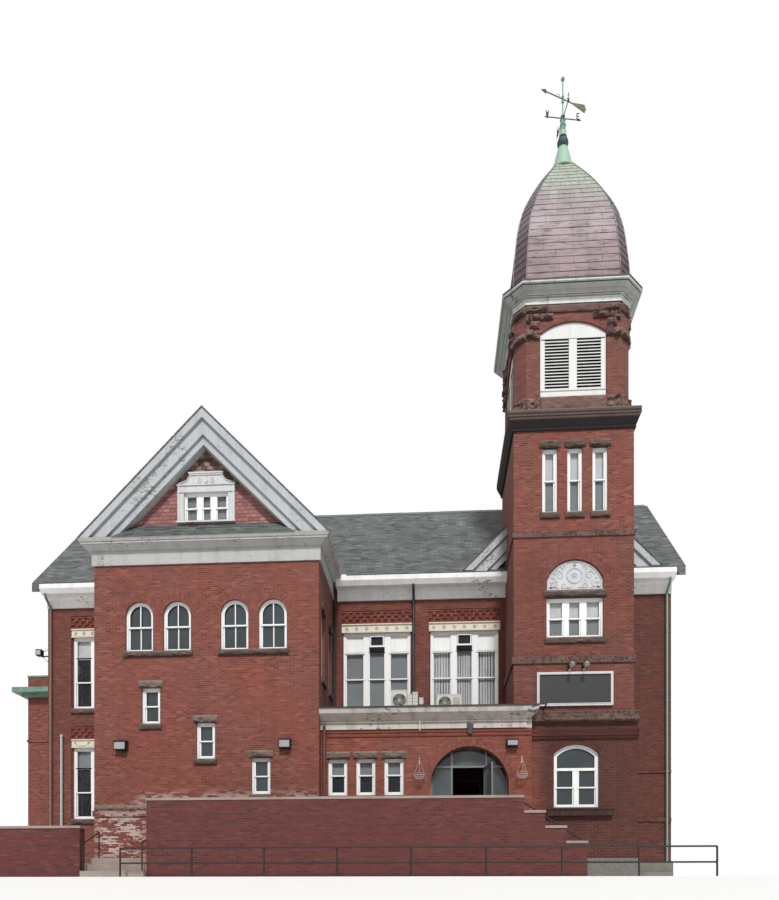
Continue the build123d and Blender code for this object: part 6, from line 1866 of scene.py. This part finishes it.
# Tints of the walls' brick. Some of them are painted shade: the pavilion's side, the brick inside the entrance, and a
# tree's shadow right of the tower.
WALL_TINTS_AND_SHADE = (
    *FOOT_TINTS,
    (RECESSED_FRONTS, (0.8, 0.78, 0.76)),
    (LEFT_STRIP, (0.88, 0.9, 0.9)),
    # Painted shadow of a tree on the main front right of the tower.
    (RIGHT_STRIP, (0.5, 0.45, 0.44)),
    # Painted shade on the pavilion's right side wall.
    (PAVILION_FLANK, (0.72, 0.7, 0.68)),
    (BELFRY_PART, (0.88, 1.06, 1.12)),
    # Painted shade: the unlit brick inside the entrance, seen through the doorway.
    (VESTIBULE, (0.1, 0.09, 0.09)),
)
WALL_CHALK = ((LEFT_PATCH, 0.075), (STAIR_PATCH, 0.04))
PORCH_BANDS = ((UNDER_PORCH_CORNICE, (0.9, 0.88, 0.86)), (PORCH_CROWN_EDGE, (0.35, 0.33, 0.33)))
# Painted light on the crown's frieze and lip, and painted shade in its cove.
CROWN_LIGHT_AND_SHADE = ((CROWN_FRIEZE, (1.25, 1.25, 1.22)), (CROWN_COVE, (0.66, 0.68, 0.62)), (CROWN_LIP, (1.1, 1.1, 1.08)))
TYMPANUM_BANDS = ((TYMPANUM_PLACE, (0.8, 0.87, 1.1)),)
FINIAL_ZONES = ((FINIAL_BALL, (0.03, 0.065, 0.07)), (FINIAL_POST, (0.17, 0.33, 0.25)))
PIPE_ZONES = (
    (WHITE_PIPE, (0.5, 0.5, 0.48)),
    (TAN_PIPE, (0.2, 0.14, 0.1)),
    (BROWN_PIPE, (0.13, 0.05, 0.035)),
    (BLACK_PIPE, (0.02, 0.02, 0.022)),
)
GREY_SHINGLES = ((0.05, 0.056, 0.056), (0.12, 0.132, 0.128), (0.21, 0.218, 0.206))
RED_SHINGLES = ((0.19, 0.075, 0.068), (0.31, 0.13, 0.115), (0.4, 0.19, 0.165))
ARCH_BRICK = ((0.13, 0.04, 0.03), (0.2, 0.06, 0.044), (0.29, 0.1, 0.078))
PAINT_BARE = (0.2, 0.18, 0.15)
CREAM_BARE = (0.4, 0.31, 0.21)
PALE_GREY = (0.62, 0.62, 0.6)
# Glass: its dark and its light tone, and how much of it isn't clear
# Tinted glass goes in lights with no blinds. Its nearly opaque blue-grey body is painted shade of the dark rooms
# behind and painted reflection of the sky.
TINTED_GLASS = ((0.022, 0.034, 0.042), (0.042, 0.064, 0.078), 0.72)
CLEAR_GLASS = ((0.05, 0.06, 0.065), (0.1, 0.12, 0.13), 0.14)
ENTRANCE_GLASS = ((0.05, 0.062, 0.07), (0.17, 0.2, 0.215), 0.55)
GREY_BARE = (0.3, 0.28, 0.25)
MATERIALS = {
    "brick": brick("brick_wall", RED, MORTAR, 0.4, WALL_CHALK, WALL_TINTS_AND_SHADE),
    "granite": granite("granite"),
    "brownstone": brownstone("brownstone"),
    "white_paint": paint("white_paint", (0.86, 0.86, 0.84), PAINT_BARE, 0.42, 0.35, crease_shade=0.1),
    "cream_stone": paint("cream_paint", (0.74, 0.69, 0.57), CREAM_BARE, 0.3, 0.4, crease_shade=0.8),
    "grey_shingle": shingles("grey_shingles", GREY_SHINGLES, SHINGLE_WIDTH, SHINGLE_COURSE, SLOPE_LENGTH),
    "red_shingle": shingles("red_shingles", RED_SHINGLES, 0.2, 0.127, 1.0, at(0, 0, 13.2).z),
    "roof_deck": felt("roof_felt"),
    "copper": verdigris("green_copper"),
    "bronze": metal("dark_metal", (0.2, 0.2, 0.2), 0.4, 0.7),
    "window_frame": paint("sash_paint", (0.86, 0.86, 0.84), (0.35, 0.3, 0.24), 0.2, 0.22, crease_shade=0.55),
    "glass": window_glass("window_glass"),
    "concrete": concrete("concrete"),
    "floor": boards("floor_boards", (0.22, 0.13, 0.07)),
    "iron": metal("painted_iron", (0.03, 0.02, 0.019), 0.5, 0.3),
    "cream_metal": paint("cream_metal", (0.6, 0.585, 0.52), (0.4, 0.3, 0.2), 0.1, 0.3),
    "louvre": paint("louvre_paint", (0.72, 0.72, 0.7), (0.4, 0.36, 0.3), 0.1, 0.25, crease_shade=0.35),
}
DOME_COPPER = copper("dome_copper", (0.31, 0.225, 0.23), (0.42, 0.47, 0.39), 0.5)
FINIAL_COPPER = metal("finial_copper", (0.36, 0.54, 0.4), 0.6, 0.1, FINIAL_ZONES)
ROUGH_STONE = rock("rough_brownstone", (0.035, 0.022, 0.02), (0.18, 0.115, 0.092))
BELFRY_STONE = rock("belfry_brownstone", (0.06, 0.032, 0.027), (0.27, 0.15, 0.122), (0.36, 0.24, 0.2))
TAN_STONE = rock("rough_tan_stone", (0.07, 0.05, 0.042), (0.27, 0.19, 0.155), (0.36, 0.29, 0.24))
SPECIAL = {
    "terrace_walls": brick("terrace_brick", TERRACE, DULL_MORTAR, 0.35, joint=0.006),
    "garden_wall": brick("garden_brick", MAROON, shade_of(PALE_MORTAR, 0.55), 0.35, joint=0.006),
    "porch_walls": brick("porch_brick", ORANGE, MORTAR, 0.4),
    "porch_arch_wall": brick("porch_front_brick", ORANGE, MORTAR, 0.4),
    "porch_cornice": paint("porch_cornice_paint", (0.58, 0.55, 0.51), (0.12, 0.1, 0.085), 0.5, 0.8, PORCH_BANDS, 0.8),
    # The crown's grey is partly its paint and partly painted shade.
    "crown_cornice": paint("crown_paint", (0.56, 0.58, 0.565), (0.16, 0.14, 0.12), 0.42, 0.6, CROWN_LIGHT_AND_SHADE, 0.8),
    "carved_panels": paint("carved_paint", (0.7, 0.65, 0.53), CREAM_BARE, 0.3, 0.4, TYMPANUM_BANDS, 0.7),
    "pavilion_cornice": paint("pavilion_cornice_paint", (0.43, 0.43, 0.415), PAINT_BARE, 0.5, 0.5, (), 0.7),
    "raking_cornices": paint("raking_cornice_paint", (0.44, 0.46, 0.475), PAINT_BARE, 0.5, 0.45, (), 0.7),
    "attic_surround": paint("surround_paint", (0.6, 0.61, 0.61), PAINT_BARE, 0.4, 0.4, (), 0.7),
    "dome": DOME_COPPER,
    "finial": FINIAL_COPPER,
    "weather_vane": metal("vane_copper", (0.1, 0.13, 0.1), 0.45, 0.5),
    "tower_cornice": brownstone_cornice("tower_cornice_stone"),
    "rainwater_pipes": metal("pipe_paint", (0.2, 0.34, 0.26), 0.5, 0.1, PIPE_ZONES),
    "wing_cornice": verdigris("wing_copper", (0.2, 0.34, 0.27)),
}

for entry in frame["record"]["subparts"]:
    node = frame["nodes"][entry["node"]]
    material = SPECIAL.get(entry["node"], MATERIALS[entry["material_slot"]])
    node.data.materials.clear()
    node.data.materials.append(material)


def show_drawn(draw, name, material, slot, **finish):
    """Draws one piece and shows it."""
    piece = Piece(name)
    draw(piece)
    piece.show(material, slot, **finish)


def dress_windows():
    frames, pale, grey, clear, tinted, dark = map(
        Piece, ("window_joinery", "pale_blinds", "grey_blinds", "clear_panes", "tinted_panes", "vent_hollows")
    )
    for opening in WINDOWS:
        joinery(opening, frames)
    for opening in WINDOWS:
        hang_blinds(opening, pale, grey)
        panes(opening, clear, tinted)
    blank_transoms(frames, dark)
    frames.show(MATERIALS["window_frame"], "window_frame", replaces=("window_frames",))
    pale.show(cloth("pale_cloth", (0.9, 0.92, 0.93)), "window_frame")
    grey.show(cloth("grey_cloth", (0.32, 0.345, 0.355)), "window_frame")
    tinted.show(window_glass("tinted_glass", *TINTED_GLASS), "glass", replaces=("window_glass",))
    clear.show(window_glass("clear_glass", *CLEAR_GLASS), "glass")
    dark.show(shadow("vent_shadow", (0.012, 0.012, 0.013)), "iron")
    show_drawn(entrance_panes, "entrance_panes", window_glass("entrance_glass", *ENTRANCE_GLASS), "glass")


def dress_stone():
    sills, lintels, tan = map(Piece, ("rock_sills", "rock_lintels", "tan_lintels"))
    stones(sills, lintels, tan)
    stone = {"slot": "brownstone", "smooth": SMOOTH_STONE}
    tan.show(TAN_STONE, **stone)
    sills.show(ROUGH_STONE, replaces=("stone_sills",), **stone)
    lintels.show(ROUGH_STONE, replaces=("stone_lintels",), **stone)
    show_drawn(belt_stones, "belt_stones", TAN_STONE, **stone)
    show_drawn(belfry_rock, "belfry_rock", BELFRY_STONE, replaces=("belfry_stones",), **stone)
    show_drawn(granite_blocks, "granite_blocks", split_granite("split_granite"), "granite", smooth=SMOOTH_STONE)
    show_drawn(tower_rolls, "stone_rolls", MATERIALS["brownstone"], **stone)


def dress_brick():
    show_drawn(brick_arches, "brick_voussoirs", laid_brick("arch_brick", ARCH_BRICK, FOOT_TINTS), "brick")
    show_drawn(basket_weave, "basket_weave", laid_brick("woven_brick", RED, FOOT_TINTS), "brick")
    tones = tuple(shade_of(tone, 0.7) for tone in ORANGE)
    show_drawn(tower_mouldings, "brick_strings", laid_brick("string_brick", tones, FOOT_TINTS), "brick")


def dress_carving():
    cream = {"slot": "cream_stone", "smooth": SMOOTH_STONE}
    show_drawn(carved_heads, "carved_heads", MATERIALS["cream_stone"], **cream)
    relief_paint = paint("tympanum_paint", (0.58, 0.585, 0.6), GREY_BARE, 0.3, 0.4, (), 0.8)
    show_drawn(tympanum_relief, "tympanum_relief", relief_paint, **cream)
    mouldings_paint = SPECIAL["attic_surround"]
    show_drawn(attic_mouldings, "attic_mouldings", mouldings_paint, "white_paint", smooth=SMOOTH_STONE)


def dress_tower_top():
    screens, dark = map(Piece, ("louvre_screens", "louvre_shadow"))
    louvre_screens(screens, dark)
    screens.show(MATERIALS["louvre"], "louvre", replaces=("belfry_louvres",))
    dark.show(shadow("belfry_shadow"), "louvre")
    sheets, seams = map(Piece, ("dome_courses", "dome_seams"))
    dome_courses(sheets, seams)
    sheets.show(DOME_COPPER, "copper", replaces=("dome",), smooth=SMOOTH_SHEET)
    seams.show(DOME_COPPER, "copper", smooth=SMOOTH_ROUND)
    skirt, drip_and_shadow_lines, beads = map(Piece, ("crown_skirt", "crown_drip_and_shadow_lines", "crown_beads"))
    crown_skirt(skirt, drip_and_shadow_lines, beads)
    beads.show(SPECIAL["crown_cornice"], "white_paint", smooth=SMOOTH_ROUND)
    skirt.show(paint("skirt_paint", (0.5, 0.52, 0.5), (0.2, 0.24, 0.2), 0.4, 0.5), "white_paint")
    # The dark metal edge of the crown, and its painted shadow lines.
    drip_and_shadow_lines.show(metal("dark_edge_and_shadow_lines", (0.03, 0.03, 0.03), 0.6, 0.2), "iron")
    show_drawn(finial_rings, "finial_rings", FINIAL_COPPER, "copper", smooth=SMOOTH_ROUND)
    show_drawn(compass_letters, "compass_letters", MATERIALS["iron"], "iron")
    gilt = metal("gilt", (0.5, 0.34, 0.12), 0.35, 0.8)
    show_drawn(vane_trim, "vane_trim", gilt, "copper", body="weather_vane", smooth=SMOOTH_ROUND)


def dress_front():
    show_drawn(cornice_drips, "cornice_drips", metal("drip_metal", (0.03, 0.032, 0.034), 0.6, 0.2), "iron")
    show_drawn(downpipe_elbows, "pipe_elbows", SPECIAL["rainwater_pipes"], "iron", smooth=SMOOTH_ROUND)
    show_drawn(ridge_caps, "ridge_caps", metal("ridge_metal", (0.16, 0.17, 0.17), 0.5, 0.4), "grey_shingle")
    show_drawn(pent_shingles, "pent_shingles", MATERIALS["grey_shingle"], "grey_shingle")
    white, panel = map(Piece, ("sign_frame", "sign_panel"))
    bare_sign(white, panel)
    sign_paint = paint("sign_paint", (0.55, 0.55, 0.54), PAINT_BARE, 0.2, 0.35)
    white.show(sign_paint, "white_paint", replaces=("sign_board",))
    panel.show(metal("sign_face", (0.03, 0.03, 0.032), 0.35, 0.2), "white_paint")
    glass, hoods, spots = map(Piece, ("lamp_lenses", "lamp_hoods", "sign_lamps"))
    lamp_details(hoods, glass)
    hoods.show(MATERIALS["iron"], "iron")
    sign_lamps(spots, glass)
    spots.show(paint("lamp_paint", PALE_GREY, GREY_BARE, 0.1, 0.2), "iron", smooth=SMOOTH_ROUND)
    glass.show(lens("lamp_glass", (0.42, 0.43, 0.42)), "glass")
    units, dark = map(Piece, ("cooling_units", "unit_hollows"))
    cooling_units(units, dark)
    units.show(MATERIALS["cream_metal"], "cream_metal", replaces=("roof_units",))
    dark.show(shadow("unit_shadow", (0.02, 0.02, 0.022)), "cream_metal")
    boxes, bins = map(Piece, ("white_boxes", "dark_boxes"))
    roof_boxes(boxes, bins)
    boxes.show(paint("box_paint", PALE_GREY, GREY_BARE, 0.2, 0.3), "cream_metal")
    bins.show(metal("box_metal", (0.045, 0.045, 0.048), 0.5, 0.2), "iron")
    show_drawn(hanging_baskets, "hanging_baskets", metal("basket_wire", (0.6, 0.6, 0.58), 0.5, 0.1), "iron")


def make_camera():
    data = bpy.data.cameras.new("camera")
    data.sensor_fit = "VERTICAL"
    data.sensor_height = SENSOR
    data.lens = FOCAL_PIXELS * SENSOR / FRAME_PIXELS[1]
    data.shift_y = (HORIZON_PIXEL - FRAME_PIXELS[1] / 2) / FRAME_PIXELS[1]
    data.clip_end = 500
    camera = bpy.data.objects.new("camera", data)
    camera.location = at(*CAMERA_PLACE)
    camera.rotation_euler = (math.pi / 2, 0, CAMERA_YAW)
    bpy.context.scene.collection.objects.link(camera)
    bpy.context.scene.camera = camera


def make_light():
    """An even sky that the camera sees as white, and one soft sun from the front."""
    scene = bpy.context.scene
    scene.view_settings.view_transform = "Standard"
    scene.world = bpy.data.worlds.new("sky")
    scene.world.use_nodes = True
    nodes = scene.world.node_tree.nodes
    links = scene.world.node_tree.links

    def larger(one, other):
        made = nodes.new("ShaderNodeMath")
        made.operation = "MAXIMUM"
        links.new(one, made.inputs[0])
        links.new(other, made.inputs[1])
        return made.outputs[0]

    rays = nodes.new("ShaderNodeLightPath").outputs
    seen = larger(rays["Is Camera Ray"], rays["Is Glossy Ray"])
    seen = larger(seen, rays["Is Transmission Ray"])
    strength = nodes.new("ShaderNodeMapRange")
    links.new(seen, strength.inputs[0])
    strength.inputs["To Min"].default_value = SKY_STRENGTH
    strength.inputs["To Max"].default_value = 1.0
    back = nodes["Background"]
    links.new(strength.outputs[0], back.inputs["Strength"])
    back.inputs["Color"].default_value = (1, 1, 1, 1)
    sun = bpy.data.lights.new("sun", "SUN")
    sun.energy = SUN_STRENGTH
    sun.angle = SUN_SPREAD
    lamp = bpy.data.objects.new("sun", sun)
    lamp.rotation_euler = SUN_TURN
    scene.collection.objects.link(lamp)


def make_stage():
    """A pale floor, level under the building, that falls away in front of the railing."""
    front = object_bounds()[0][1] - STAGE_MARGIN
    rows = ((front - STAGE_RUN, -STAGE_DROP), (front, 0), (STAGE_REACH, 0))
    points = [(side * STAGE_REACH, y, z) for y, z in rows for side in BOTH_SIDES]
    data = bpy.data.meshes.new("floor")
    data.from_pydata(points, [], [(0, 1, 3, 2), (2, 3, 5, 4)])
    data.materials.append(Shade("floor").finish(FLOOR_COLOUR, 0.9))
    floor = bpy.data.objects.new("floor", data)
    bpy.context.scene.collection.objects.link(floor)


dress_windows()
dress_stone()
dress_brick()
dress_carving()
dress_tower_top()
dress_front()
make_camera()
make_light()
make_stage()
